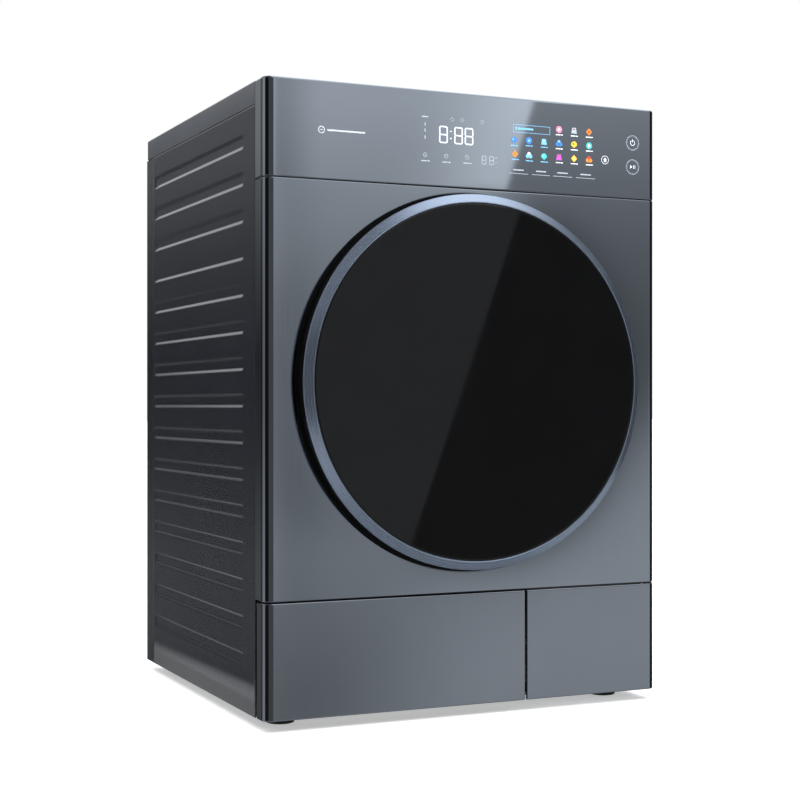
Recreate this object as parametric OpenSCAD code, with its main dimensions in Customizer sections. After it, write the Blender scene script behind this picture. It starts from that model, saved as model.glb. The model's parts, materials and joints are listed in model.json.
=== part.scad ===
// Front-loading heat-pump clothes dryer, modelled as an assembly of separate pieces.
// Frame: +Z up, the front faces -Y, and the origin is on the floor at the centre of the outline.
// "Depth" below means the distance behind the plane of the front panels.

/* [Cabinet] */
// Width over the side panels
body_w = 596; // [570:1:720]
// Height of the cabinet above its feet
body_h = 833; // [815:1:1000]
// Depth from the front panels to the rear edges of the sides
body_d = 562; // [540:1:680]
// Thickness of the steel sheets
sheet = 1.2; // [1:0.1:2]
// Radius of the upright front corners
corner_r = 12; // [6:1:16]
// Height of the cabinet above the floor
foot_gap = 15; // [12:1:20]
// Height of the worktop skirt
worktop_h = 31; // [20:1:40]
// Thickness of the worktop's board
board_t = 16; // [10:1:20]

/* [Front panels] */
// Height of the control fascia
fascia_h = 129; // [110:1:150]
// Height of the plinth panels
plinth_h = 152; // [148:1:170]
// Width of the service flap, the wider of the two plinth panels
flap_w = 382; // [360:1:390]
// How far the fascia and the front panel return along the sides
front_return = 36; // [34:1:44]
// How far the plinth panels return along the sides
plinth_return = 30; // [20:1:31]
// Gap under the fascia
fascia_gap = 1.5; // [1:0.5:3]
// Gap over and between the plinth panels
plinth_gap = 2.4; // [2:0.1:4]
// Wall of the moulded panels
moulded = 3; // [2:0.5:4]

/* [Side ribs] */
// Number of pressed ribs on each side
rib_count = 15; // [10:1:15]
// Height of one rib
rib_h = 20; // [14:1:28]
// Distance from one rib to the next
rib_pitch = 49.3; // [40:0.1:50]
// Height of the lowest rib's centre above the cabinet's bottom
rib_first = 69; // [50:1:80]
// Depth that a rib is pressed in
rib_press = 3.5; // [2:0.5:4]
// Depth at which the ribs start
rib_from = 84; // [70:1:120]
// Distance from the ribs' far ends to the rear edge
rib_rear = 44; // [30:1:80]

/* [Door] */
// Outer radius of the door ring
ring_r = 253.6; // [240:0.1:256]
// Radius of the glass seat's edge, where the ring's slope ends
ring_inner_r = 241.3; // [230:0.1:243]
// How far the door stands proud of the front panel
door_proud = 31; // [28:1:36]
// Height of the door's axis above the cabinet's bottom
door_h = 439.4; // [436:0.1:445]
// Thickness of the door glass
glass_t = 4; // [3:0.5:5]
// Depth of the dish that the door closes into
dish_d = 10; // [9:0.5:14]
// Opening radius of the loading mouth
mouth_r = 200; // [190:1:200]
// How far the door's plug reaches into the mouth
plug_d = 28; // [20:1:30]

/* [Drum] */
// Outer radius of the drum
drum_r = 283; // [270:1:284]
// Depth of the drum's front edge
drum_front = 68; // [66:1:80]
// Space between the drum's back wall and the rear panel
drum_rear_gap = 46; // [44:1:60]
// Number of paddles
paddle_count = 3; // [2:1:4]
// Height of a paddle
paddle_h = 55; // [40:1:60]
// Radius of a support roller
roller_r = 35; // [25:1:35]
// Radius of the motor's belt pulley
pulley_r = 9; // [7:0.5:12]
// Radius of the belt's idler pulley
idler_r = 14; // [10:1:16]

/* [Rear and base] */
// How far the rear air duct stands behind the cabinet
rear_bulge = 42; // [30:1:60]
// Inner height of the heat exchanger housing
exchanger_h = 126; // [110:1:126]
// Length of the water tank
tank_len = 340; // [260:1:360]
// Height of the water tank
tank_h = 98; // [70:1:100]
// Travel of each levelling foot
foot_travel = 12; // [8:1:14]
// Radius of a foot's pad
foot_r = 19; // [16:1:24]

/* [Hidden] */
$fn = 96;

// Clearances
run = 0.05;      // a shaft in its bore, on the radius
slip = 0.3;      // pieces that pass each other
bite = 0.01;     // cutting tools run past a face by this

// Main planes
front_y = door_proud - (door_proud + body_d + rear_bulge) / 2;
base_z = foot_gap;
top_z = base_z + body_h;
skirt_z = top_z - worktop_h;
fascia_z = top_z - fascia_h;
plinth_z = base_z + plinth_h;
front_panel_z = plinth_z + plinth_gap;
front_panel_top = fascia_z - fascia_gap;
inner_x = body_w / 2 - sheet;
axis_z = base_z + door_h;
flap_x = -body_w / 2 + flap_w;
tank_x = flap_x + plinth_gap;
back_panel_d = body_d - 6;
back_face_d = back_panel_d + sheet;

// Door and mouth, as radius and depth about the door's axis
ring_back = -20.5;
ring_edge = -23.7;
shell_r = ring_r - 2.1;
shell_wall = 3;
shell_plate = 2.5;
shell_rim_r = shell_r - 8;
rim_d = dish_d - 3;
rim_t = 2;
seat_w = 5.3;
dish_r = ring_r + 2.4;
dish_wall = 2.5;
dish_inner_r = dish_r - 0.5;
gasket_r = mouth_r + 4;
gasket_w = 12;
gasket_front = 2.3;
plug_r = mouth_r - 2;
plug_end_r = mouth_r - 10;
frame_inner_r = mouth_r - 5;
hinge_x = ring_r - 10.6;
hinge_d = -13;
hinge_half = 33.7;
ear_t = 5;
ear_half_w = 3;
knuckle_r = 4.8;
pin_r = 3;
hinge_slot_half = hinge_half + ear_t + 2.5;
latch_x = -(shell_rim_r - 11.5);
grip_half = 47;
grip_deep = 17;

// Mouth, bulkhead and lint filter
throat_t = 2.5;
bulkhead_d = drum_front - 12;
filter_d = bulkhead_d - 18;
filter_t = 10;
filter_w = 180;
filter_z = base_z + 143;
collar_r = 230;
collar_len = 19;
drum_mouth_r = collar_r + 6;

// Drum
drum_t = 1;
drum_back = back_panel_d - drum_rear_gap;
back_wall_t = 1.5;
shaft_r = 10;
bearing_r = 20;
roller_angle = 35;
roller_w = 18;
roller_d = drum_front + 10;
roller_x = (drum_r + slip + roller_r) * sin(roller_angle);
roller_z = axis_z - (drum_r + slip + roller_r) * cos(roller_angle);
axle_r = 6;

// Belt drive
belt_t = 3;
belt_w = 12;
belt_gap = 0.5;
belt_d = drum_front + 59;
motor_r = 52;
motor_len = 110;
motor_x = inner_x - rib_press - 4 - motor_r;
motor_reach = drum_r + belt_t + motor_r + 6;
motor_z = axis_z - sqrt(motor_reach * motor_reach - motor_x * motor_x);
motor_d = belt_d + belt_w + 10;
motor_shaft_r = 5;
belt_angle = atan2(motor_z - axis_z, motor_x);
belt_wrap = acos((drum_r - pulley_r) / motor_reach);
lower_angle = belt_angle - belt_wrap;
idler_share = 0.55;
idler_reach = belt_gap + belt_t + slip + idler_r;
drum_tangent = [drum_r * cos(lower_angle), axis_z + drum_r * sin(lower_angle)];
pulley_tangent = [motor_x + pulley_r * cos(lower_angle), motor_z + pulley_r * sin(lower_angle)];
idler_at = drum_tangent + idler_share * (pulley_tangent - drum_tangent)
    + idler_reach * [cos(lower_angle), sin(lower_angle)];
arm_len = 46;
arm_lean = 85.6;
arm_angle = lower_angle + arm_lean;
arm_pivot = idler_at - arm_len * [cos(arm_angle), sin(arm_angle)];
arm_t = 4;

// Base
tray_t = 4;
tray_z = base_z + tray_t;
tray_front = plinth_return + 4;
foot_inset_x = 47;
foot_inset_d = 70;
foot_stud_r = 5;
foot_stud_h = foot_travel + tray_t + 2;
boss_r = 10;
foot_neck_h = 5;
tray_rear = back_panel_d;
housing_wall = 3;
housing_x0 = -inner_x + 10;
housing_x1 = flap_x - 24;
housing_top = tray_z + exchanger_h + 2 * housing_wall;
housing_rear = body_d - 117;
cover_t = 6;
bay_wall = 3;
bay_x = tank_x + 8;

tank_x0 = bay_x + bay_wall + 3;
tank_x1 = body_w / 2 - 14;
tank_wall = 2.5;
runner_h = foot_stud_h - tray_t + 1;
tank_z = tray_z + runner_h + slip;
bay_roof_z = tank_z + tank_h + 8;
inlet_w = 120;
inlet_len = 70;
lever_places = [housing_x0 + 46, housing_x1 - 46];
lever_z = tray_z + 72;
lever_len = 58;
lever_r = 13;
lever_pin_r = 5;
flap_pivot_d = 14;
flap_pivot_z = base_z + 10;
flap_pin_r = 3;
flap_ear_half = 3;
flap_ears = [-body_w / 2 + 40, flap_x - 30];
fan_x0 = -inner_x + 56;
fan_x1 = fan_x0 + 180;
fan_x = (fan_x0 + fan_x1) / 2;
fan_z = (tray_z + housing_top) / 2;
fan_r = 58;
fan_wall = 2.5;
fan_shaft_r = 4;
compressor_r = 60;
compressor_h = 150;
compressor_x = inner_x - rib_press - 64 - compressor_r;
compressor_d = back_panel_d - 34 - compressor_r;
grommet_h = 8;
can_r = 20;
can_h = 90;
can_x = compressor_x - compressor_r - can_r - 6;
can_z = tray_z + grommet_h + 30;
air_hole_r = 225;
ring_wall_r = 264;
duct_r = 240;
duct_wall = sheet;
duct_foot_z = base_z + 20;
outlet_x = inner_x - 56;
outlet_z = base_z + 105;
spigot_r = 9;
spigot_len = 26;
inlet_box = [64, 14, 46];
inlet_x = inner_x - 96;
inlet_z = top_z - 88;
gland_bore_r = 4.5;
gland_len = 22;

// ---- helpers ----

// Children drawn with Z as depth, centred on the door and drum axis.
module on_axis() {
    translate([0, front_y, axis_z]) rotate([-90, 0, 0]) children();
}

// A cylinder along +Y from one depth to another.
module rod(x, z, r, from, to) {
    translate([x, front_y + from, z]) rotate([-90, 0, 0]) cylinder(h = to - from, r = r);
}

// A block given by its limits in X, in depth and in height.
module block(x, d, z) {
    translate([x[0], front_y + d[0], z[0]]) cube([x[1] - x[0], d[1] - d[0], z[1] - z[0]]);
}

// Ring about the door and drum axis.
module ring(outer, inner, from, to) {
    on_axis() translate([0, 0, from]) difference() {
        cylinder(h = to - from, r = outer);
        translate([0, 0, -bite]) cylinder(h = to - from + 2 * bite, r = inner);
    }
}

// Plan of a front panel: square at the rear, round at the two front corners.
module front_plan(half_w, from, to, r) {
    translate([-half_w, from + r]) square([2 * half_w, to - from - r]);
    translate([r - half_w, from]) square([2 * (half_w - r), to - from]);
    for (side = [-1, 1]) translate([side * (half_w - r), from + r]) circle(r);
}

// Skin that wraps the front and both front corners.
module front_skin(z0, z1, wall, reach) {
    translate([0, front_y, z0]) linear_extrude(height = z1 - z0) difference() {
        front_plan(body_w / 2, 0, reach, corner_r);
        front_plan(body_w / 2 - wall, wall, reach + 1, corner_r - wall);
    }
}

// Round tube through a list of points, with a thicker upright joint at every bend.
module jointed_tube(points, r, joint_r) {
    for (i = [0 : len(points) - 2]) {
        way = points[i + 1] - points[i];
        translate(points[i]) rotate([0, acos(way[2] / norm(way)), atan2(way[1], way[0])])
            cylinder(h = norm(way), r = r);
    }
    for (i = [1 : len(points) - 2]) translate(points[i] - [0, 0, joint_r])
        cylinder(h = 2 * joint_r, r = joint_r);
}

function at(x, depth, z) = [x, front_y + depth, z];

// ---- cabinet ----

// Frustum pressed into the left side panel, grown outward by "grow".
module pressed_rib(z, grow) {
    slope = 4;
    half = rib_h / 2 + grow;
    from = front_y + rib_from - grow;
    to = front_y + body_d - rib_rear + grow;
    outer = -body_w / 2 - bite;
    inner = -body_w / 2 + rib_press + grow;
    polyhedron(
        points = [
            [outer, from, z - half], [outer, to, z - half], [outer, to, z + half], [outer, from, z + half],
            [inner, from + slope, z - half + slope], [inner, to - slope, z - half + slope],
            [inner, to - slope, z + half - slope], [inner, from + slope, z + half - slope]
        ],
        faces = [
            [0, 1, 2, 3], [4, 7, 6, 5], [1, 0, 4, 5], [2, 1, 5, 6], [3, 2, 6, 7], [0, 3, 7, 4]
        ]
    );
}

module side_panel_left() {
    seam = 0.8;
    flange = 8;
    lip_d = [front_return + seam, body_d];
    difference() {
        union() {
            block([-body_w / 2, -inner_x], lip_d, [base_z, skirt_z - seam]);
            block(
                [-inner_x - bite, -inner_x + flange], [lip_d[0], lip_d[0] + sheet],
                [plinth_z, skirt_z - seam]
            );
            intersection() {
                for (i = [0 : rib_count - 1]) pressed_rib(base_z + rib_first + i * rib_pitch, sheet);
                block([-body_w / 2 + bite, 0], lip_d, [base_z, top_z]);
            }
        }
        for (i = [0 : rib_count - 1]) pressed_rib(base_z + rib_first + i * rib_pitch, 0);
    }
}

module left_side_panel() {
    color("#3c3f48") side_panel_left();
}

module right_side_panel() {
    color("#3c3f48") mirror([1, 0, 0]) side_panel_left();
}

module back_panel() {
    vent_pitch = 12;
    vent_rows = 10;
    color("#b9bdc2") difference() {
        block([-inner_x, inner_x], [back_panel_d, back_face_d], [base_z + 2, skirt_z - 1]);
        on_axis() translate([0, 0, back_panel_d - 1]) cylinder(h = sheet + 2, r = air_hole_r);
        block([fan_x0 + 8, fan_x1 - 8], [back_panel_d - 1, back_face_d + 1], [tray_z + 8, housing_top - 8]);
        for (i = [0 : vent_rows - 1])
            block(
                [compressor_x - 90, compressor_x - 10],
                [back_panel_d - 1, back_face_d + 1],
                [tray_z + 12 + i * vent_pitch, tray_z + 17 + i * vent_pitch]
            );
        rod(outlet_x, outlet_z, spigot_r - 2.5, back_panel_d - 1, back_face_d + 1);
    }
}

// Outline of the rear air duct, seen along the drum's axis, shrunk by "inset".
module duct_outline(inset) {
    circle(duct_r - inset);
    translate([fan_x0 + inset, 0]) square([fan_x1 - fan_x0 - 2 * inset, axis_z - duct_foot_z - inset]);
}

module rear_duct_cover() {
    depth = body_d + rear_bulge - back_face_d;
    rib_t = 3;
    color("#8e9298") on_axis() translate([0, 0, back_face_d]) difference() {
        union() {
            linear_extrude(height = depth - rib_t) duct_outline(0);
            for (r = [60 : 50 : duct_r - 20]) translate([0, 0, depth - rib_t - bite]) difference() {
                cylinder(h = rib_t + bite, r = r + 4);
                translate([0, 0, -1]) cylinder(h = rib_t + 2, r = r - 4);
            }
        }
        translate([0, 0, -bite]) linear_extrude(height = depth - rib_t - duct_wall) duct_outline(duct_wall);
    }
}

module worktop() {
    seam = 0.8;
    d = [front_return + seam, body_d];
    color("#44474f") difference() {
        block([-body_w / 2, body_w / 2], d, [skirt_z, top_z]);
        block([-inner_x, inner_x], [d[0] + sheet, d[1] - sheet], [skirt_z - 1, top_z - board_t]);
    }
}

// Folded cross rails under the worktop that tie the sides and carry the fascia.
module top_rails() {
    rail_z = skirt_z - 24;
    rail_top = top_z - board_t;
    step_x = inner_x - 8;
    step_d = front_return + 0.4;
    behind = front_return + 0.8 + sheet;
    fold = 2;
    color("#a2a6ab") {
        for (d = [[behind, 56], [body_d - 60, body_d - 30]]) difference() {
            block([-inner_x, inner_x], d, [rail_z, rail_top]);
            block([-inner_x - 1, inner_x + 1], [d[0] + fold, d[1] - fold], [rail_z - 1, rail_top - fold]);
        }
        block([-step_x, step_x], [step_d, behind + bite], [skirt_z - 1 - fold, skirt_z - 1]);
        block(
            [moulded - body_w / 2, body_w / 2 - moulded], [26, step_d + bite],
            [skirt_z - 1 - fold, skirt_z - 1]
        );
        block([moulded - body_w / 2, body_w / 2 - moulded], [26, 26 + fold], [rail_z, skirt_z - 1]);
    }
}

module front_panel() {
    color("#6b7179") difference() {
        front_skin(front_panel_z, front_panel_top, sheet, front_return);
        on_axis() translate([0, 0, -1]) cylinder(h = sheet + 2, r = dish_r);
    }
}

module control_fascia() {
    color("#7d848c") {
        front_skin(fascia_z, top_z - moulded + bite, moulded, front_return);
        translate([0, front_y, top_z - moulded]) linear_extrude(height = moulded)
            front_plan(body_w / 2, 0, front_return, corner_r);
    }
}

module control_board() {
    board_t = 1.6;
    board_d = moulded + 7;
    z_mid = fascia_z + fascia_h * 0.52;
    color("#1f4a33") {
        block([-90, body_w / 2 - 24], [board_d, board_d + board_t], [z_mid - 42, z_mid + 42]);
        block([-70, 20], [moulded, board_d + bite], [z_mid - 26, z_mid + 34]);
        block([46, 216], [moulded, board_d + bite], [z_mid - 34, z_mid + 34]);
        for (z = [z_mid - 4, z_mid + 26]) rod(body_w / 2 - 42, z, 9, moulded, board_d + bite);
        block([60, 200], [board_d + board_t - bite, board_d + board_t + 12], [z_mid - 20, z_mid + 20]);
    }
}

// Dish behind the front panel's hole, and the throat that leads to the drum.
module door_surround() {
    slot_half = 8;
    color("#1b1c1f") difference() {
        on_axis() rotate_extrude() polygon([
            [dish_inner_r, sheet], [dish_r + 6, sheet], [dish_r + 6, sheet + 2],
            [dish_r + dish_wall, sheet + 2],
            [dish_r + dish_wall, dish_d + dish_wall], [mouth_r + throat_t, dish_d + dish_wall],
            [mouth_r + throat_t, bulkhead_d], [mouth_r, bulkhead_d], [mouth_r, dish_d],
            [dish_inner_r, dish_d]
        ]);
        block(
            [latch_x - slot_half, latch_x + slot_half],
            [dish_d - 1, dish_d + dish_wall + 1],
            [axis_z - 12, axis_z + 12]
        );
        block(
            [-filter_w / 2 - 1, filter_w / 2 + 1],
            [filter_d - 1, filter_d + filter_t + 1],
            [axis_z - mouth_r - 20, axis_z - mouth_r * 0.8]
        );
    }
}

module door_gasket() {
    color("#2a2a2c") on_axis() rotate_extrude() polygon([
        [gasket_r, dish_d], [gasket_r + gasket_w, dish_d], [gasket_r + gasket_w - 2, dish_d - 4],
        [gasket_r + gasket_w - 5, gasket_front], [gasket_r + 3, gasket_front], [gasket_r + 1, dish_d - 4]
    ]);
}

// Inner front wall with the drum's collar, the roller axles and the lint filter's pocket.
module front_bulkhead() {
    pocket_wall = 3;
    pocket_d = [filter_d - 1 - pocket_wall, bulkhead_d + bite];
    half = filter_w / 2 + 1;
    pocket_top = axis_z - (mouth_r + throat_t) * 0.86;
    color("#8b9096") {
        difference() {
            union() {
                block(
                    [-inner_x, inner_x], [bulkhead_d, bulkhead_d + sheet],
                    [housing_top + 2, front_panel_top - 4]
                );
                ring(collar_r, collar_r - 2, bulkhead_d + sheet - bite, bulkhead_d + sheet + collar_len);
            }
            on_axis() translate([0, 0, bulkhead_d - 1]) cylinder(h = sheet + 2, r = mouth_r);
        }
        difference() {
            block([-half - pocket_wall, half + pocket_wall], pocket_d, [housing_top, pocket_top]);
            block([-half, half], [filter_d - 1, filter_d + filter_t + 1], [housing_top - 1, pocket_top + 1]);
            on_axis() translate([0, 0, pocket_d[0] - 1])
                cylinder(h = pocket_d[1] - pocket_d[0] + 2, r = mouth_r + throat_t);
        }
        for (side = [-1, 1])
            rod(side * roller_x, roller_z, axle_r, bulkhead_d + sheet - bite, roller_d + roller_w + 6);
    }
}

// Felt rings that close the gaps at the front and rear of the drum.
module drum_seals() {
    color("#c9c4b8") {
        ring(drum_mouth_r - slip, collar_r, drum_front - 4, drum_front + 6);
        ring(ring_wall_r + 8, ring_wall_r - 6, drum_back + back_wall_t + slip, drum_back + back_wall_t + 6);
    }
}

module rear_bearing_support() {
    wall_front = drum_back + back_wall_t + 6;
    bar_half = 18;
    bar_t = 4;
    boss_wall = 8;
    color("#9a9ea4") {
        ring(ring_wall_r + 2, ring_wall_r, wall_front, back_panel_d);
        difference() {
            union() {
                block(
                    [-ring_wall_r - bite, ring_wall_r + bite], [back_panel_d - bar_t, back_panel_d],
                    [axis_z - bar_half, axis_z + bar_half]
                );
                block(
                    [-bar_half, bar_half], [back_panel_d - bar_t, back_panel_d],
                    [axis_z - ring_wall_r, axis_z + ring_wall_r]
                );
                rod(0, axis_z, bearing_r + boss_wall, back_panel_d - 22, back_panel_d - bite);
            }
            rod(0, axis_z, bearing_r, back_panel_d - 23, back_panel_d + 1);
        }
    }
}

module drum_bearing() {
    color("#c8ccd0") ring(bearing_r, shaft_r + run, back_panel_d - 22, back_panel_d - 6);
}

module hinge_bracket() {
    plate_t = 2;
    color("#a8adb3") for (side = [-1, 1]) {
        z0 = side > 0 ? axis_z + hinge_half + slip : axis_z - hinge_half - slip - ear_t;
        difference() {
            union() {
                block(
                    [hinge_x - ear_half_w, hinge_x + ear_half_w], [hinge_d, dish_d - plate_t + bite],
                    [z0, z0 + ear_t]
                );
                translate(at(hinge_x, hinge_d, z0)) cylinder(h = ear_t, r = knuckle_r);
                if (side > 0) block(
                    [hinge_x - 22, hinge_x + 6], [dish_d - plate_t, dish_d],
                    [axis_z - hinge_half - slip - ear_t, axis_z + hinge_half + slip + ear_t]
                );
            }
            translate(at(hinge_x, hinge_d, z0 - 1)) cylinder(h = ear_t + 2, r = pin_r + run);
        }
    }
}

module door_lock() {
    from = dish_d + dish_wall;
    color("#e4e4e0") difference() {
        block([latch_x - 14, latch_x + 20], [from, from + 34], [axis_z - 26, axis_z + 26]);
        block([latch_x - 9, latch_x + 9], [from - 1, from + 24], [axis_z - 13, axis_z + 13]);
    }
}

// ---- base and heat pump ----

module base_tray() {
    rim_t = 3;
    rim_h = 26;
    bay = [bay_x, bay_x + bay_wall];
    bay_run = [tray_front + 4, tank_len + 46];
    color("#55585e") difference() {
        union() {
            block([-inner_x + 2, inner_x - 2], [tray_front, tray_rear], [base_z, tray_z]);
            for (side = [-1, 1])
                block(
                    side < 0 ? [-inner_x + 2, -inner_x + 2 + rim_t] : [inner_x - 2 - rim_t, inner_x - 2],
                    [tray_front + 4, tray_rear], [tray_z - bite, tray_z + rim_h]
                );
            block([-inner_x + 2, inner_x - 2], [tray_rear - rim_t, tray_rear], [tray_z - bite, tray_z + 6]);
            block(bay, bay_run, [tray_z - bite, bay_roof_z + bay_wall]);
            block([bay[0], inner_x - 8], bay_run, [bay_roof_z, bay_roof_z + bay_wall]);
            block([inner_x - 11, inner_x - 8], bay_run, [tray_z - bite, bay_roof_z + bay_wall]);
            for (x = foot_places_x(), d = foot_places_d())
                translate(at(x, d, tray_z - bite)) cylinder(h = foot_stud_h - tray_t, r = boss_r);
            for (x = [tank_x0 + 8, tank_x1 - 24])
                block([x, x + 8], [tray_front, tank_len], [tray_z - bite, tray_z + runner_h]);
            for (x = flap_ears) flap_ear(x);
            rod(arm_pivot[0], arm_pivot[1], 4, belt_d - 14, belt_d + 4);
            block(
                [arm_pivot[0] - 9, arm_pivot[0] + 9], [belt_d - 14, belt_d - 8],
                [bay_roof_z + bay_wall - bite, arm_pivot[1] + 9]
            );
        }
        for (x = foot_places_x(), d = foot_places_d())
            translate(at(x, d, base_z - 1)) cylinder(h = foot_stud_h + tray_t + 2, r = foot_stud_r + run);
        for (x = flap_ears)
            translate([x - 8, front_y + flap_pivot_d, flap_pivot_z]) rotate([0, 90, 0])
                cylinder(h = 16, r = flap_pin_r + run);
    }
}

function foot_places_x() = [foot_inset_x - body_w / 2, body_w / 2 - foot_inset_x];
function foot_places_d() = [foot_inset_d, body_d - foot_inset_d];

// Ear on the tray that carries one pin of the service flap.
module flap_ear(x) {
    ear_r = 6.5;
    half = flap_ear_half;
    block([x - half, x + half], [flap_pivot_d, tray_front + bite], [base_z, tray_z]);
    block([x - half, x + half], [flap_pivot_d, tray_front - slip], [tray_z - bite, base_z + 16]);
    translate([x - half, front_y + flap_pivot_d, flap_pivot_z]) rotate([0, 90, 0])
        cylinder(h = 2 * half, r = ear_r);
}

module heat_exchanger_housing() {
    x = [housing_x0, housing_x1];
    d = [tray_front, housing_rear];
    color("#6a6e74") difference() {
        block(x, d, [tray_z, housing_top]);
        block(
            [x[0] + housing_wall, x[1] - housing_wall], [d[0] - 1, d[1] - housing_wall],
            [tray_z + housing_wall, housing_top - housing_wall]
        );
        block(
            [-filter_w / 2, filter_w / 2], [filter_d - 1, filter_d + filter_t + 1],
            [housing_top - housing_wall - 1, housing_top + 1]
        );
        rod(fan_x, fan_z, fan_r - 6, d[1] - housing_wall - 1, d[1] + 1);
        for (x = foot_places_x()) translate(at(x, foot_inset_d, tray_z - 1))
            cylinder(h = housing_wall + 2, r = boss_r + slip);
    }
}

// Finned block with tubes that run across it.
module fin_block(d, pitch) {
    x0 = housing_x0 + housing_wall;
    x1 = housing_x1 - housing_wall;
    z0 = tray_z + housing_wall;
    z1 = housing_top - housing_wall;
    fin_t = 1;
    tube_r = 4;
    for (x = [x0 : pitch : x1 - fin_t]) block([x, x + fin_t], d, [z0, z1]);
    block([x1 - 2 * fin_t, x1], d, [z0, z1]);
    for (z = [z0 + 20 : 28 : z1 - 14], y = [d[0] + 18 : 34 : d[1] - 10])
        translate(at(x0 + fin_t / 2, y, z)) rotate([0, 90, 0]) cylinder(h = x1 - x0 - fin_t, r = tube_r);
}

module evaporator() {
    color("#b8bcc0") fin_block([112, 190], 14);
}

module condenser() {
    color("#c98f62") fin_block([214, 330], 14);
}

module exchanger_cover() {
    front = tray_front - cover_t;
    x = [housing_x0, housing_x1];
    color("#7a7e84") difference() {
        union() {
            block(x, [front, tray_front], [tray_z, housing_top]);
            for (i = [0 : 3]) {
                rib_x = (x[0] + x[1]) / 2 + (i - 1.5) * 44;
                block([rib_x - 1.5, rib_x + 1.5], [front - 3, front + bite], [tray_z + 30, housing_top - 12]);
            }
        }
        for (lever_x = lever_places) rod(lever_x, lever_z, lever_pin_r + run, front - 1, tray_front + 1);
        for (ear = flap_ears)
            block([ear - 8, ear + 8], [front - 4, tray_front + 1], [tray_z - 1, base_z + 24]);
    }
}

// Quarter-turn lever that locks the exchanger cover.
module cover_lever(x) {
    front = tray_front - cover_t;
    color("#2f6fb0") {
        rod(x, lever_z, lever_pin_r, front - 6, tray_front);
        rod(x, lever_z, lever_r, front - 9, front - slip);
        block([x - 6, x + 6], [front - 9, front - slip - 3], [lever_z - lever_len, lever_z]);
    }
}

module left_cover_lever() {
    cover_lever(lever_places[0]);
}

module right_cover_lever() {
    cover_lever(lever_places[1]);
}

module compressor() {
    z0 = tray_z + grommet_h;
    plate_t = 3;
    plate_half = compressor_r + 8;
    can_wall = 5;
    color("#26272a") difference() {
        union() {
            translate(at(compressor_x, compressor_d, z0 + plate_t)) {
                cylinder(h = compressor_h, r = compressor_r);
                translate([0, 0, compressor_h - bite])
                    cylinder(h = 16, r1 = compressor_r - 2, r2 = compressor_r - 30);
            }
            block(
                [compressor_x - compressor_r, compressor_x + plate_half],
                [compressor_d - compressor_r + 6, compressor_d + compressor_r - 6], [z0, z0 + plate_t + bite]
            );
            translate(at(can_x, compressor_d, can_z)) cylinder(h = can_h, r = can_r);
            block(
                [can_x + can_r - 8, compressor_x - compressor_r + 4],
                [compressor_d - 6, compressor_d + 6], [can_z + 30, can_z + 46]
            );
        }
        translate(at(compressor_x, compressor_d, z0 - 1))
            cylinder(h = plate_t + compressor_h - can_wall, r = compressor_r - can_wall);
    }
}

module compressor_mounts() {
    spread = [compressor_r - 4, compressor_r - 22];
    color("#1a1a1a") for (sx = [-1, 1], sy = [-1, 1])
        translate(at(compressor_x + sx * spread[0], compressor_d + sy * spread[1], tray_z))
            cylinder(h = grommet_h, r = 10);
}

module refrigerant_pipes() {
    r = 4;
    joint_r = 5.2;
    top = tray_z + grommet_h + 3 + compressor_h + 16;
    run_x = housing_x1 + 12;
    run_z = housing_top + 19;
    down_d = compressor_d - compressor_r - 15;
    inlet_d = 300;
    inlet_pipe_z = housing_top - 24;
    can_pipe_x = can_x - can_r - 24;
    can_pipe_z = can_z + 40;
    color("#b5713e") {
        jointed_tube([
            at(compressor_x, compressor_d, top), at(compressor_x, compressor_d, top + 8),
            at(compressor_x, down_d, top + 8), at(compressor_x, down_d, run_z), at(run_x, down_d, run_z),
            at(run_x, inlet_d, run_z), at(run_x, inlet_d, inlet_pipe_z), at(housing_x1, inlet_d, inlet_pipe_z)
        ], r, joint_r);
        jointed_tube([
            at(can_x - can_r, compressor_d, can_pipe_z), at(can_pipe_x, compressor_d, can_pipe_z),
            at(can_pipe_x, housing_rear, can_pipe_z)
        ], r, joint_r);
    }
}

module fan_housing() {
    d = [housing_rear, back_panel_d];
    color("#74787e") difference() {
        union() {
            block([fan_x0, fan_x1], d, [tray_z, housing_top]);
        }
        block(
            [fan_x0 + fan_wall, fan_x1 - fan_wall], [d[0] + fan_wall, d[1] + 1],
            [tray_z + fan_wall, housing_top - fan_wall]
        );
        rod(fan_x, fan_z, fan_r - 6, d[0] - 1, d[0] + fan_wall + 1);
        block([fan_x0 - 1, fan_x1 + 1], [tray_rear - 3 - slip, d[1] + 1], [tray_z - 1, tray_z + 6 + slip]);
        for (x = foot_places_x()) translate(at(x, body_d - foot_inset_d, tray_z - 1))
            cylinder(h = foot_stud_h + 2, r = boss_r + slip);
    }
}

module fan_motor() {
    d = housing_rear + 70;
    color("#3a3c40") difference() {
        union() {
            rod(fan_x, fan_z, 34, d, d + 26);
            block([fan_x0 + fan_wall, fan_x1 - fan_wall], [d + 16, d + 22], [fan_z - 8, fan_z + 8]);
        }
        rod(fan_x, fan_z, fan_shaft_r + run, d - 1, d + 20);
    }
}

module fan_wheel() {
    from = housing_rear + fan_wall + 6;
    to = from + 46;
    blade_count = 24;
    color("#d8d9d6") {
        rod(fan_x, fan_z, fan_r, to - 2, to);
        rod(fan_x, fan_z, 9, from + 20, to - 1);
        rod(fan_x, fan_z, fan_shaft_r, to - 2, housing_rear + 70 + 18);
        for (i = [0 : blade_count - 1]) translate([fan_x, front_y + from, fan_z])
            rotate([0, i * 360 / blade_count, 0])
                translate([fan_r - 13, 0, -0.8]) cube([12, to - from - 1, 1.6]);
        translate([fan_x, front_y + from, fan_z]) rotate([-90, 0, 0]) difference() {
            cylinder(h = 3, r = fan_r);
            translate([0, 0, -1]) cylinder(h = 5, r = fan_r - 6);
        }
    }
}

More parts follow.
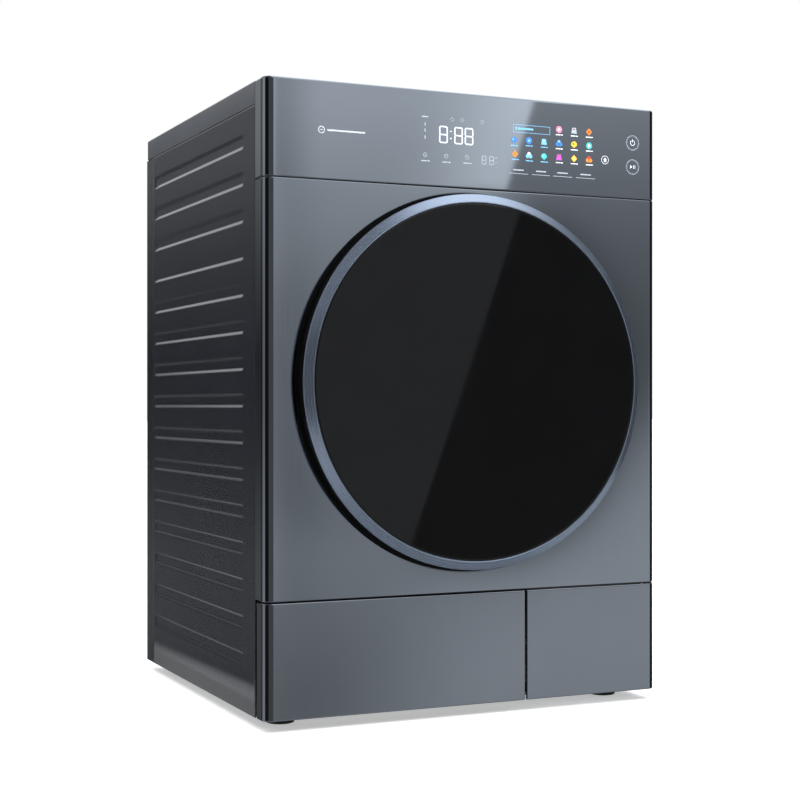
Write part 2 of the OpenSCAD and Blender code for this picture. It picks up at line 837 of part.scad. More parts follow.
module drive_motor() {
    motor_wall = 8;
    color("#5b5e63") difference() {
        union() {
            rod(motor_x, motor_z, motor_r, motor_d, motor_d + motor_len);
            block(
                [motor_x - 30, motor_x + 30], [motor_d + 15, motor_d + motor_len - 15],
                [bay_roof_z + bay_wall, motor_z]
            );
        }
        rod(motor_x, motor_z, motor_r - motor_wall, motor_d + 46, motor_d + motor_len + 1);
        rod(motor_x, motor_z, motor_shaft_r + run, motor_d - 1, motor_d + 42);
    }
}

module motor_pulley() {
    color("#b0b4b8") {
        rod(motor_x, motor_z, motor_shaft_r, motor_d - 6, motor_d + 40);
        rod(motor_x, motor_z, pulley_r, belt_d - 1, belt_d + belt_w + 5);
        rod(motor_x, motor_z, pulley_r + 3, belt_d - 3, belt_d - 1 + bite);
    }
}

// Outline of the belt loop at a distance from the drum and the pulley.
module belt_outline(grow) {
    hull() {
        translate([0, axis_z]) circle(drum_r + grow, $fn = 180);
        translate([motor_x, motor_z]) circle(pulley_r + grow, $fn = 60);
    }
}

module drum_belt() {
    color("#1c1c1e") translate([0, front_y + belt_d + belt_w, 0]) rotate([90, 0, 0])
        linear_extrude(height = belt_w) difference() {
            belt_outline(belt_gap + belt_t);
            belt_outline(belt_gap);
        }
}

module tensioner_arm() {
    from = belt_d - 7;
    color("#8f9398") difference() {
        union() {
            rod(arm_pivot[0], arm_pivot[1], 9, from, from + arm_t);
            rod(idler_at[0], idler_at[1], 9, from, from + arm_t);
            translate([arm_pivot[0], front_y + from, arm_pivot[1]]) rotate([0, -arm_angle, 0])
                translate([0, 0.5, -6]) cube([arm_len, arm_t - 1, 12]);
            rod(idler_at[0], idler_at[1], 4, from + arm_t - bite, belt_d + belt_w + 2);
        }
        rod(arm_pivot[0], arm_pivot[1], 4 + run, from - 1, from + arm_t + 1);
    }
}

module idler_pulley() {
    color("#dcdcd8") difference() {
        rod(idler_at[0], idler_at[1], idler_r, belt_d - 1, belt_d + belt_w + 1);
        rod(idler_at[0], idler_at[1], 4 + run, belt_d - 2, belt_d + belt_w + 2);
    }
}

// Condensate pump with the hose that fills the tank.
module drain_pump() {
    x = bay_x - 10;
    d = compressor_d - 74;
    r = 7;
    joint_r = 9;
    over_roof = bay_roof_z + bay_wall + joint_r + 1;
    color("#b8bcc0") {
        rod(x, tray_z + 24, 24, d, d + 38);
        translate(at(x, d + 20, tray_z + 40)) cylinder(h = 24, r = 8);
        jointed_tube([
            at(x, d + 20, tray_z + 60), at(x, d + 20, over_roof), at(x, tank_len + 30, over_roof),
            at(x + 76, tank_len + 30, over_roof), at(x + 76, tank_len - 20, over_roof)
        ], r, joint_r);
    }
}

module drain_outlet() {
    color("#d0d2d4") difference() {
        union() {
            rod(outlet_x, outlet_z, 16, back_face_d, back_face_d + 4);
            rod(outlet_x, outlet_z, spigot_r, back_face_d + 4 - bite, back_face_d + 4 + spigot_len);
        }
        rod(outlet_x, outlet_z, spigot_r - 2.5, back_face_d - 1, back_face_d + 5 + spigot_len);
    }
}

module power_inlet() {
    x = [inlet_x - inlet_box[0] / 2, inlet_x + inlet_box[0] / 2];
    gland_z = inlet_z + inlet_box[2] / 2;
    box_d = back_face_d + inlet_box[1];
    color("#26282b") difference() {
        union() {
            block(x, [back_face_d, box_d], [inlet_z, inlet_z + inlet_box[2]]);
            rod(inlet_x, gland_z, gland_bore_r + 2.3, box_d - bite, box_d + gland_len);
        }
        rod(inlet_x, gland_z, gland_bore_r, back_face_d + 2, box_d + gland_len + 1);
    }
}

// Identical pan-head screws on the rear of the cabinet.
module rear_screws() {
    rows = 5;
    edge = 12;
    pitch = (skirt_z - base_z - 60) / (rows - 1);
    color("#c8cacc") for (side = [-1, 1], i = [0 : rows - 1])
        rod(side * (inner_x - edge), base_z + 26 + i * pitch, 4, back_face_d, back_face_d + 2.4);
}

// ---- door ----

module door_ring() {
    color("#7f8ea6") on_axis() rotate_extrude($fn = 180) polygon([
        [ring_inner_r - seat_w, ring_back], [ring_r, ring_back], [ring_r, ring_edge],
        [ring_inner_r, -door_proud], [ring_inner_r, glass_t + 0.4 - door_proud],
        [ring_inner_r - seat_w, glass_t + 0.4 - door_proud]
    ]);
}

module door_glass() {
    color("#141416") on_axis() translate([0, 0, 0.4 - door_proud])
        cylinder(h = glass_t, r = ring_inner_r - slip);
}

// Swept space that the fixed hinge ears need inside the door.
module hinge_pocket() {
    block(
        [hinge_x - 7, ring_r + 2], [ring_back + shell_plate, dish_d],
        [axis_z - hinge_slot_half, axis_z + hinge_slot_half]
    );
    block(
        [hinge_x + 4, ring_r + 2], [ring_back - bite, dish_d],
        [axis_z - hinge_slot_half, axis_z + hinge_slot_half]
    );
}

module door_shell() {
    grip_wall = 2.5;
    x_out = -shell_r;
    color("#121214") difference() {
        union() {
            on_axis() rotate_extrude($fn = 180) polygon([
                [frame_inner_r, ring_back], [shell_r, ring_back], [shell_r, -3], [shell_rim_r, rim_d - rim_t],
                [shell_rim_r - 3.2, rim_d - rim_t], [shell_r - shell_wall, -3.2],
                [shell_r - shell_wall, ring_back + shell_plate],
                [frame_inner_r + shell_wall, ring_back + shell_plate], [frame_inner_r + shell_wall, 0],
                [frame_inner_r, 0]
            ]);
            intersection() {
                block(
                    [x_out, x_out + grip_deep + grip_wall], [ring_back + shell_plate - bite, -1],
                    [axis_z - grip_half - grip_wall, axis_z + grip_half + grip_wall]
                );
                on_axis() translate([0, 0, ring_back]) cylinder(h = 30, r = shell_r - 1);
            }
        }
        block(
            [x_out - 5, x_out + grip_deep], [ring_back + shell_plate, -1 - grip_wall],
            [axis_z - grip_half, axis_z + grip_half]
        );
        hinge_pocket();
    }
}

module door_inner_frame() {
    land_d = 2;
    window_seat = 18;
    color("#202124") difference() {
        on_axis() rotate_extrude($fn = 180) polygon([
            [frame_inner_r, 0], [gasket_r + gasket_w + 6, 0], [gasket_r + gasket_w + 6, rim_d - rim_t],
            [shell_rim_r, rim_d - rim_t], [shell_rim_r, rim_d], [gasket_r + gasket_w + 4, rim_d],
            [gasket_r + gasket_w + 4, land_d], [plug_r, land_d], [plug_end_r, plug_d],
            [plug_end_r - window_seat, plug_d], [plug_end_r - window_seat, plug_d - 2],
            [plug_end_r - 2.5, plug_d - 2]
        ]);
        hinge_pocket();
    }
}

module door_window() {
    color("#30343a") on_axis() translate([0, 0, plug_d - 5]) cylinder(h = 3, r = plug_end_r - 3);
}

// Leaf screwed inside the door, with the hinge knuckle and its two pins.
module hinge_arm() {
    leaf_t = 3;
    pin_half = hinge_half + slip + ear_t + 1;
    color("#a8adb3") {
        translate(at(hinge_x, hinge_d, axis_z - hinge_half)) cylinder(h = 2 * hinge_half, r = knuckle_r);
        translate(at(hinge_x, hinge_d, axis_z - pin_half)) cylinder(h = 2 * pin_half, r = pin_r);
        block(
            [hinge_x - 36, hinge_x], [ring_back + shell_plate, ring_back + shell_plate + leaf_t],
            [axis_z - hinge_half, axis_z + hinge_half]
        );
    }
}

module latch_hook() {
    color("#c0c4c8") {
        block([latch_x - 3, latch_x + 3], [rim_d, rim_d + 21], [axis_z - 9, axis_z + 9]);
        block([latch_x - 4.5, latch_x + bite], [rim_d + 16, rim_d + 21], [axis_z - 9, axis_z + 9]);
        block([latch_x - 8, latch_x + 8], [rim_d, rim_d + 1.5], [axis_z - 20, axis_z + 20]);
    }
}

// ---- drum ----

module drum_shell() {
    color("#c4c8cc") {
        ring(drum_r, drum_r - drum_t, drum_front, drum_back);
        ring(drum_r - drum_t + bite, drum_mouth_r, drum_front, drum_front + drum_t);
    }
}

module drum_back_wall() {
    hole_r = 5;
    color("#b4b8bc") on_axis() translate([0, 0, drum_back]) difference() {
        cylinder(h = back_wall_t, r = drum_r);
        for (row = [0 : 3], i = [0 : 23]) rotate([0, 0, (i + row / 2) * 15])
            translate([105 + row * 32, 0, -1]) cylinder(h = back_wall_t + 2, r = hole_r);
        translate([0, 0, -1]) cylinder(h = back_wall_t + 2, r = shaft_r + run);
    }
}

module drum_paddles() {
    base_half = 34;
    top_half = 12;
    foot = 8;
    color("#8a8f96") on_axis() for (i = [0 : paddle_count - 1]) rotate([0, 0, i * 360 / paddle_count - 90])
        intersection() {
            translate([0, 0, drum_front + 30]) linear_extrude(height = drum_back - drum_front - 60)
                difference() {
                    polygon([
                        [drum_r, -base_half - foot], [drum_r - paddle_h, -top_half],
                        [drum_r - paddle_h - 3, 0], [drum_r - paddle_h, top_half],
                        [drum_r, base_half + foot]
                    ]);
                    polygon([
                        [drum_r + 1, -base_half], [drum_r - paddle_h + 6, 4 - top_half],
                        [drum_r - paddle_h + 6, top_half - 4], [drum_r + 1, base_half]
                    ]);
                }
            translate([0, 0, drum_front]) cylinder(h = drum_back - drum_front, r = drum_r - drum_t);
        }
}

module drum_shaft() {
    flange_r = 60;
    from = drum_back + back_wall_t;
    color("#9ea2a6") {
        rod(0, axis_z, flange_r, from, from + 4);
        rod(0, axis_z, shaft_r, drum_back, back_panel_d - 2);
    }
}

module roller(x) {
    color("#e2ddd0") difference() {
        union() {
            rod(x, roller_z, roller_r, roller_d, roller_d + roller_w);
            rod(x, roller_z, 12, roller_d - 4, roller_d + roller_w + 4);
        }
        rod(x, roller_z, axle_r + run, roller_d - 5, roller_d + roller_w + 5);
        for (i = [0 : 4]) rotate_about_y(x, roller_z, i * 72)
            rod(x + roller_r * 0.58, roller_z, 6, roller_d - 1, roller_d + roller_w + 1);
    }
}

// Children turned by an angle about an axis along Y through (x, z).
module rotate_about_y(x, z, angle) {
    translate([x, 0, z]) rotate([0, angle, 0]) translate([-x, 0, -z]) children();
}

module left_roller() {
    roller(-roller_x);
}

module right_roller() {
    roller(roller_x);
}

// ---- removable pieces ----

module lint_filter() {
    half = filter_w / 2;
    d = [filter_d, filter_d + filter_t];
    top = axis_z - mouth_r * 0.86;
    border = 9;
    tab_half = 32;
    color("#4a4d52") {
        difference() {
            block([-half, half], d, [filter_z + 5, top]);
            on_axis() translate([0, 0, d[0] - 1]) cylinder(h = filter_t + 2, r = mouth_r - slip);
            for (i = [0 : 3]) {
                bay = (filter_w - 2 * border - 3 * 6) / 4;
                x = -half + border + i * (bay + 6);
                block(
                    [x, x + bay], [d[0] - 1, d[0] + filter_t - 2],
                    [filter_z + 5 + border, axis_z - mouth_r - border]
                );
            }
        }
        intersection() {
            block([-tab_half, tab_half], [d[0] + 3, d[0] + 7], [axis_z - mouth_r - 8, axis_z - mouth_r + 16]);
            block([-tab_half, tab_half], d, [0, top_z]);
        }
    }
}

module water_tank() {
    x = [tank_x0, tank_x1 - 8];
    d = [moulded, tank_len];
    z = [tank_z, tank_z + tank_h];
    inlet_x0 = tank_x0 + 20;
    color("#cfd6dc") difference() {
        block(x, d, z);
        block(
            [x[0] + tank_wall, x[1] - tank_wall], [d[0] + tank_wall, d[1] - tank_wall],
            [z[0] + tank_wall, z[1] - tank_wall]
        );
        block(
            [inlet_x0, inlet_x0 + inlet_w], [tank_len - 20 - inlet_len, tank_len - 20],
            [z[1] - tank_wall - 1, z[1] + 1]
        );
    }
}

// Right-hand plinth panel, the tank's front.
module tank_front() {
    color("#6f757d") intersection() {
        front_skin(base_z, plinth_z, moulded, plinth_return);
        block([tank_x, body_w / 2 + 1], [-1, plinth_return + 1], [base_z, plinth_z]);
    }
}

// Left-hand plinth panel, hinged at its lower edge.
module service_flap() {
    lug_t = 4;
    flange = 10;
    color("#5f646d") {
        intersection() {
            front_skin(base_z, plinth_z, moulded, plinth_return);
            block([-body_w / 2 - 1, flap_x], [-1, plinth_return + 1], [base_z, plinth_z]);
        }
        block([-body_w / 2 + corner_r, flap_x], [moulded - bite, flange], [plinth_z - moulded, plinth_z]);
        for (x = flap_ears) {
            lug_x = x + flap_ear_half + slip;
            block([lug_x, lug_x + lug_t], [moulded - bite, flap_pivot_d], [base_z + 4, base_z + 16]);
            translate(at(lug_x, flap_pivot_d, flap_pivot_z)) rotate([0, 90, 0]) cylinder(h = lug_t, r = 6);
            translate(at(x - flap_ear_half, flap_pivot_d, flap_pivot_z)) rotate([0, 90, 0])
                cylinder(h = 2 * flap_ear_half + slip + lug_t, r = flap_pin_r);
        }
    }
}

module foot(x, depth) {
    pad_h = foot_gap - foot_neck_h;
    color("#18191b") translate(at(x, depth, 0)) {
        cylinder(h = pad_h, r = foot_r);
        translate([0, 0, pad_h - bite]) cylinder(h = foot_neck_h + bite, r = 11, $fn = 6);
        translate([0, 0, foot_gap - bite]) cylinder(h = foot_stud_h, r = foot_stud_r);
    }
}

module foot_front_left() {
    foot(foot_places_x()[0], foot_places_d()[0]);
}

module foot_front_right() {
    foot(foot_places_x()[1], foot_places_d()[0]);
}

module foot_rear_left() {
    foot(foot_places_x()[0], foot_places_d()[1]);
}

module foot_rear_right() {
    foot(foot_places_x()[1], foot_places_d()[1]);
}

base_tray();
left_side_panel();
right_side_panel();
back_panel();
rear_duct_cover();
worktop();
top_rails();
front_panel();
control_fascia();
control_board();
door_surround();
door_gasket();
front_bulkhead();
drum_seals();
rear_bearing_support();
drum_bearing();
hinge_bracket();
door_lock();
heat_exchanger_housing();
evaporator();
condenser();
exchanger_cover();
compressor();
compressor_mounts();
refrigerant_pipes();
fan_housing();
fan_motor();
drive_motor();
drum_belt();
drain_pump();
drain_outlet();
power_inlet();
rear_screws();
door_ring();
door_glass();
door_shell();
door_inner_frame();
door_window();
hinge_arm();
latch_hook();
drum_shell();
drum_back_wall();
drum_paddles();
drum_shaft();
left_roller();
right_roller();
motor_pulley();
tensioner_arm();
idler_pulley();
fan_wheel();
lint_filter();
water_tank();
tank_front();
service_flap();
left_cover_lever();
right_cover_lever();
foot_front_left();
foot_front_right();
foot_rear_left();
foot_rear_right();
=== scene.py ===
# %% [markdown]
# # A heat-pump clothes dryer
# This lesson dresses a measured model of a front-loading dryer. The measured model, which every
# piece sits on, already knows where each part is and how it turns or slides. Here each visible
# part gets its rolled edges, its pressed ribs and its real finish: brushed steel, satin paint,
# black glass, anodised aluminium, moulded plastic, felt and rubber.

# %% Load the measured model
import bpy
import bmesh
import json
import math
from mathutils import Matrix, Vector

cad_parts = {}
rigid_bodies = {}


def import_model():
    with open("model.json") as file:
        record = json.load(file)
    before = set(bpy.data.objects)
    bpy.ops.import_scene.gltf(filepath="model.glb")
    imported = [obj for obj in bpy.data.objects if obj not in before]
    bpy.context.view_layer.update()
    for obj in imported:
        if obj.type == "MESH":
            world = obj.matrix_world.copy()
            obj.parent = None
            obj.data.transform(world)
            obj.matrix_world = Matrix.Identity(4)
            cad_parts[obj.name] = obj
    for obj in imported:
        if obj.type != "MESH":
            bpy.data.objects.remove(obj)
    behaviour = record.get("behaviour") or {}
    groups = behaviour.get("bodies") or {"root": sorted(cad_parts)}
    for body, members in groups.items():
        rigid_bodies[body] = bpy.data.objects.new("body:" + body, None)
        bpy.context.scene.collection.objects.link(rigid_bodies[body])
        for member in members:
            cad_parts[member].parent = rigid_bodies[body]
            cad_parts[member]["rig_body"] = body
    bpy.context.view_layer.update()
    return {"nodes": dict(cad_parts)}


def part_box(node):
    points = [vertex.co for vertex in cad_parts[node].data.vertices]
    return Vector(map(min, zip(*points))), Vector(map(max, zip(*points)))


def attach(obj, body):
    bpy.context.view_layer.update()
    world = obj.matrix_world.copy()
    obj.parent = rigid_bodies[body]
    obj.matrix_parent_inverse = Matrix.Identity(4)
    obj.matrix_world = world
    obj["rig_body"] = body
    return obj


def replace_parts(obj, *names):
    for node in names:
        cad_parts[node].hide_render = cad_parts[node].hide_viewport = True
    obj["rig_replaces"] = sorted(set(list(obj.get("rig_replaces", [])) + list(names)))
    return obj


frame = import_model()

MM = 0.001

# %% [markdown]
# The main planes are read from the measured parts, so that nothing here has to be typed twice.
# Only sizes that belong to a finish, such as the radius of a rolled edge, are new values.

# %% Read the main planes
FRONT_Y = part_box("front_panel")[0].y
HALF_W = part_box("front_panel")[1].x
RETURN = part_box("front_panel")[1].y - FRONT_Y
ring_low, ring_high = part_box("door_ring")
AXIS_Z = (ring_low.z + ring_high.z) / 2
RING_R = (ring_high.x - ring_low.x) / 2
CORNER_R = 12 * MM
print("front plane", round(FRONT_Y, 4), "door axis height", round(AXIS_Z, 4))

# %% [markdown]
# The camera stands a little left of the dryer at the height of its middle, level, so that all
# upright edges stay upright. A long lens keeps the box from looking stretched.

# %% Camera
FOCAL_MM = 70.7
SENSOR_MM = 36.0
lens = bpy.data.cameras.new("camera")
lens.lens, lens.sensor_width, lens.shift_y = FOCAL_MM, SENSOR_MM, 0.0075
camera = bpy.data.objects.new("camera", lens)
bpy.context.scene.collection.objects.link(camera)
camera.location = (-0.9763, FRONT_Y - 1.908, 0.4222)
camera.rotation_euler = (math.radians(90), 0, math.radians(-24.5))
bpy.context.scene.camera = camera
bpy.context.scene.view_settings.view_transform = "Standard"
print("camera at", [round(v, 3) for v in camera.location])

# %% [markdown]
# Shiny metal and glass only show what stands round them, so the studio is the real paint here.
# A soft overhead light whitens the floor, which also glows a little, as paper lit from below
# does. Floor and overhead light are hidden from mirror reflections, as flags would hide them.

# %% Studio
FLOOR_HALF = 40.0

def link(piece):
    bpy.context.scene.collection.objects.link(piece)
    return piece

def new_material(name):
    made = bpy.data.materials.new(name)
    made.use_nodes = True
    return made, made.node_tree, made.node_tree.nodes["Principled BSDF"]

def add(tree, kind, inputs=None, **settings):
    """A node with its settings, its fixed numbers and its incoming links given in one call."""
    node = tree.nodes.new(kind)
    for key, value in settings.items():
        setattr(node, key, value)
    for key, value in (inputs or {}).items():
        if isinstance(value, bpy.types.NodeSocket):
            tree.links.new(value, node.inputs[key])
        else:
            node.inputs[key].default_value = value
    return node

floor_mesh = bpy.data.meshes.new("studio_floor")
floor_mesh.from_pydata([(x, y, 0) for x, y in ((-1, -1), (1, -1), (1, 1), (-1, 1))], [], [(0, 1, 2, 3)])
floor_mesh.transform(Matrix.Scale(FLOOR_HALF, 4))
floor = link(bpy.data.objects.new("studio_floor", floor_mesh))
floor.visible_glossy = False
floor_paint, tree, shader = new_material("floor_paint")
shader.inputs["Base Color"].default_value = (0.93, 0.93, 0.93, 1)
shader.inputs["Roughness"].default_value = 0.9
shader.inputs["Emission Color"].default_value = (1, 1, 1, 1)
shader.inputs["Emission Strength"].default_value = 0.42
floor_mesh.materials.append(floor_paint)

sun_data = bpy.data.lights.new("overhead", "SUN")
sun_data.energy, sun_data.angle = 3.3, math.radians(70)
sun = link(bpy.data.objects.new("overhead", sun_data))
sun.visible_glossy = False
sun.rotation_euler = (math.radians(14), math.radians(-8), 0)

# %% [markdown]
# The rest of the studio is a round backdrop, described by direction alone. It is bright above,
# dark at eye level and a little brighter below, which gives flat metal a soft gradient. In front
# of the dryer it has two halves that meet at a leaning edge: that edge is the slanting line that
# runs over glass and metal, and the left half glows as it nears it. A round patch of the backdrop
# holds only two plain tones, because the door glass should stay calm, and a thin glow at the left
# end of the front part draws the bright line on the rounded corner. Behind, beside and below the
# dryer a few soft tones keep the other sides from going black. The camera itself sees plain white
# paper in place of the backdrop.

# %% Backdrop
def calc(tree, operation, a, b=0.0):
    return add(tree, "ShaderNodeMath", {0: a, 1: b}, operation=operation).outputs[0]

def length_of(tree, a, b):
    """The length of a flat arrow with these two sides."""
    squares = [calc(tree, "MULTIPLY", side, side) for side in (a, b)]
    return calc(tree, "SQRT", calc(tree, "ADD", *squares))

def ease(tree, value, start, end, low=0.0, high=1.0):
    return add(tree, "ShaderNodeMapRange", {"Value": value, "From Min": start, "From Max": end, "To Min": low,
                                            "To Max": high}, interpolation_type="SMOOTHSTEP").outputs[0]

def blend(tree, share, a, b):
    return add(tree, "ShaderNodeMix", {0: share, 2: a, 3: b}).outputs[0]

def tone_by_height(tree, height, tones):
    """Brightness by the slope of the ray, from a list of (slope, brightness)."""
    ramp = add(tree, "ShaderNodeValToRGB", {"Fac": add(tree, "ShaderNodeMapRange", {
        "Value": height, "From Min": tones[0][0], "From Max": tones[-1][0]}).outputs[0]})
    stops = ramp.color_ramp.elements
    reach = tones[-1][0] - tones[0][0]
    for n, (slope, tone) in enumerate(tones):
        at = (slope - tones[0][0]) / reach
        stop = stops[n] if n < 1 else (stops[-1] if n == len(tones) - 1 else stops.new(at))
        stop.position, stop.color = at, (tone, tone, tone, 1)
    return ramp.outputs[0]

world = bpy.data.worlds.new("studio")
bpy.context.scene.world = world
world.use_nodes = True
sky = world.node_tree
for old in list(sky.nodes):
    sky.nodes.remove(old)
ray = add(sky, "ShaderNodeSeparateXYZ", {0: add(sky, "ShaderNodeTexCoord").outputs["Generated"]})
ray_x, ray_y, ray_z = ray.outputs
LEAST = 0.05
slope = calc(sky, "DIVIDE", ray_z, calc(sky, "MAXIMUM", length_of(sky, ray_x, ray_y), LEAST))
ahead = calc(sky, "MAXIMUM", calc(sky, "MULTIPLY", ray_y, -1.0), LEAST)
across = calc(sky, "DIVIDE", ray_x, ahead)
EDGE_AT, EDGE_LEAN, GLASS_SHIFT = 0.4821, 0.41, 0.0175
leaning = calc(sky, "ADD", calc(sky, "MULTIPLY", slope, EDGE_LEAN), EDGE_AT)
past_edge = calc(sky, "SUBTRACT", across, leaning)
print("backdrop edge leans", round(math.degrees(math.atan(EDGE_LEAN)), 1), "degrees")

# %% Two halves and the leaning edge
left_half = tone_by_height(sky, slope, [
    (-0.25, 0.18), (-0.18, 0.20), (-0.117, 0.38), (-0.092, 0.42), (-0.06, 0.28), (0.004, 0.24),
    (0.036, 0.24), (0.067, 0.33), (0.099, 0.50), (0.14, 0.64), (0.195, 0.86), (0.25, 0.9)])
right_half = tone_by_height(sky, slope, [
    (-0.25, 0.5), (-0.158, 0.60), (-0.092, 0.60), (-0.06, 0.58), (-0.028, 0.5), (0.004, 0.28),
    (0.036, 0.20), (0.067, 0.23), (0.099, 0.27), (0.14, 0.34), (0.195, 0.5), (0.25, 0.55)])
low_soft = ease(sky, slope, -0.06, -0.01, 0.09, 0.004)
halves = ease(sky, past_edge, calc(sky, "MULTIPLY", low_soft, -0.2), low_soft)
glow = calc(sky, "POWER", ease(sky, past_edge, -0.13, 0.0), 2.0)
glow = calc(sky, "MULTIPLY", glow, ease(sky, slope, 0.0, 0.13, 0.03, 0.50))
left_half = calc(sky, "ADD", left_half, glow)
front_tone = blend(sky, halves, left_half, right_half)
print("left and right halves drawn")

# %% Calm patch for the glass and the bright corner line
PATCH_ACROSS, PATCH_SLOPE, PATCH_HALF_W, PATCH_HALF_H = 0.517, 0.0165, 0.135, 0.118
LEFT_TONE, RIGHT_TONE = 0.47, 0.13
CORNER_GLOW, CORNER_SHADE = 0.55, 0.66
off_x = calc(sky, "DIVIDE", calc(sky, "SUBTRACT", across, PATCH_ACROSS), PATCH_HALF_W)
off_z = calc(sky, "DIVIDE", calc(sky, "SUBTRACT", slope, PATCH_SLOPE), PATCH_HALF_H)
glass_edge = ease(sky, past_edge, GLASS_SHIFT - 0.0006, GLASS_SHIFT + 0.0025)
middle_tone = blend(sky, glass_edge, LEFT_TONE, RIGHT_TONE)
off_patch = ease(sky, length_of(sky, off_x, off_z), 0.96, 1.08)
front_tone = blend(sky, off_patch, middle_tone, front_tone)
front_tone = calc(sky, "ADD", front_tone, ease(sky, across, 0.3605, 0.3645, CORNER_GLOW, 0.0))
front_tone = calc(sky, "MULTIPLY", front_tone, ease(sky, across, 0.365, 0.40, CORNER_SHADE, 1.0))
print("calm patch", round(2 * PATCH_HALF_W, 3), "by", round(2 * PATCH_HALF_H, 3))

# %% Above, beside and below
ABOVE_GLOW, ABOVE_LEAST = 1.4, 0.18
round_low = tone_by_height(sky, slope, [
    (-0.3, 0.09), (-0.18, 0.13), (-0.10, 0.14), (-0.03, 0.06), (0.03, 0.04), (0.09, 0.10),
    (0.16, 0.24), (0.222, 0.30), (0.25, 0.95), (1.2, 1.0)])
above = calc(sky, "MULTIPLY", ease(sky, ray_x, -0.2, 0.3), ease(sky, ray_x, 0.85, 0.5))
above = calc(sky, "ADD", calc(sky, "MULTIPLY", above, ABOVE_GLOW), ABOVE_LEAST)
above = calc(sky, "MULTIPLY", ease(sky, slope, 0.3, 0.5), above)
dimmer = calc(sky, "MAXIMUM", ease(sky, ray_y, 0.72, 0.87, 0.0, 1.0), above)
beside = calc(sky, "MULTIPLY", ease(sky, ray_y, -0.12, 0.0), ease(sky, ray_y, 0.76, 0.66))
beside = calc(sky, "MULTIPLY", beside, ease(sky, ray_x, -0.2, -0.4))
beside_tone = tone_by_height(sky, slope, [
    (-0.2, 0.5), (-0.1, 0.42), (0.0, 0.26), (0.07, 0.28), (0.18, 0.55)])
beside = calc(sky, "MULTIPLY", beside, beside_tone)
below = calc(sky, "MULTIPLY", ease(sky, slope, -0.24, -0.36, 0.0, 0.40),
             ease(sky, slope, -1.3, -0.6, 0.5, 1.0))
facing = ease(sky, ray_y, -0.7, -0.85, 0.012, 0.13)
fill = calc(sky, "MAXIMUM", calc(sky, "MAXIMUM", below, facing), beside)
round_about = calc(sky, "MAXIMUM", calc(sky, "MULTIPLY", round_low, dimmer), fill)
in_front = calc(sky, "MULTIPLY", ease(sky, ray_y, -0.45, -0.65), ease(sky, across, 0.30, 0.35))
tone = blend(sky, in_front, round_about, front_tone)
room = add(sky, "ShaderNodeBackground", {"Color": (0.93, 0.965, 1.0, 1), "Strength": tone})
paper = add(sky, "ShaderNodeBackground", {"Color": (1, 1, 1, 1)})
choose = add(sky, "ShaderNodeMixShader", {0: add(sky, "ShaderNodeLightPath").outputs["Is Camera Ray"],
                                          1: room.outputs[0], 2: paper.outputs[0]})
add(sky, "ShaderNodeOutputWorld", {0: choose.outputs[0]})
print("backdrop nodes", len(sky.nodes))

# %% [markdown]
# ## Finishes
# Every finish is built from procedural noise in metres, measured from the dryer's own origin, so
# the grain has the right scale on every piece and needs no unwrapping. Numbers that are the same
# all over a surface are set on the shader itself; only what varies comes from nodes.

# %% Helpers for finishes
MADE = {}

def place(tree, stretch=(1, 1, 1), shift=(0, 0, 0), turn=(0, 0, 0)):
    """Object coordinates in metres, turned, moved, and stretched along the grain."""
    spot = add(tree, "ShaderNodeTexCoord")
    return add(tree, "ShaderNodeMapping", {"Vector": spot.outputs["Object"], "Scale": stretch,
                                           "Location": shift, "Rotation": turn}).outputs[0]

FACING = (math.radians(90), 0, 0)

def noise(tree, spot, scale, detail=3.0, rough=0.55):
    return add(tree, "ShaderNodeTexNoise", {"Vector": spot, "Scale": scale, "Detail": detail,
                                            "Roughness": rough}).outputs["Fac"]

def spread(tree, amount, low, high):
    return add(tree, "ShaderNodeMapRange", {"Value": amount, "From Min": 0.3, "From Max": 0.7,
                                            "To Min": low, "To Max": high}).outputs[0]

def shade(tree, amount, dark, light):
    ramp = add(tree, "ShaderNodeValToRGB", {"Fac": amount})
    ramp.color_ramp.elements[0].position, ramp.color_ramp.elements[1].position = 0.3, 0.7
    ramp.color_ramp.elements[0].color = (*dark, 1)
    ramp.color_ramp.elements[1].color = (*light, 1)
    return ramp.outputs[0]

def relief(tree, shader, height, strength, depth):
    bump = add(tree, "ShaderNodeBump", {"Height": height, "Strength": strength, "Distance": depth})
    tree.links.new(bump.outputs[0], shader.inputs["Normal"])

def finish(name, dark, light, rough, metal=0.0, coat=0.0, scale=900.0, patch=14.0, stretch=(1, 1, 1),
           strength=0.15, depth=0.0001, **fixed):
    """A finish whose tone drifts in soft patches, with a fine grain that moves gloss and relief."""
    material, tree, shader = new_material(name)
    soft = noise(tree, place(tree), patch, 4)
    fine = noise(tree, place(tree, stretch), scale, 2)
    tree.links.new(shade(tree, soft, dark, light), shader.inputs["Base Color"])
    tree.links.new(spread(tree, fine, rough[0], rough[1]), shader.inputs["Roughness"])
    relief(tree, shader, fine, strength, depth)
    shader.inputs["Metallic"].default_value = metal
    shader.inputs["Coat Weight"].default_value = coat
    for key, value in fixed.items():
        shader.inputs[key.replace("_", " ")].default_value = value
    MADE[name] = material
    return material, tree, shader
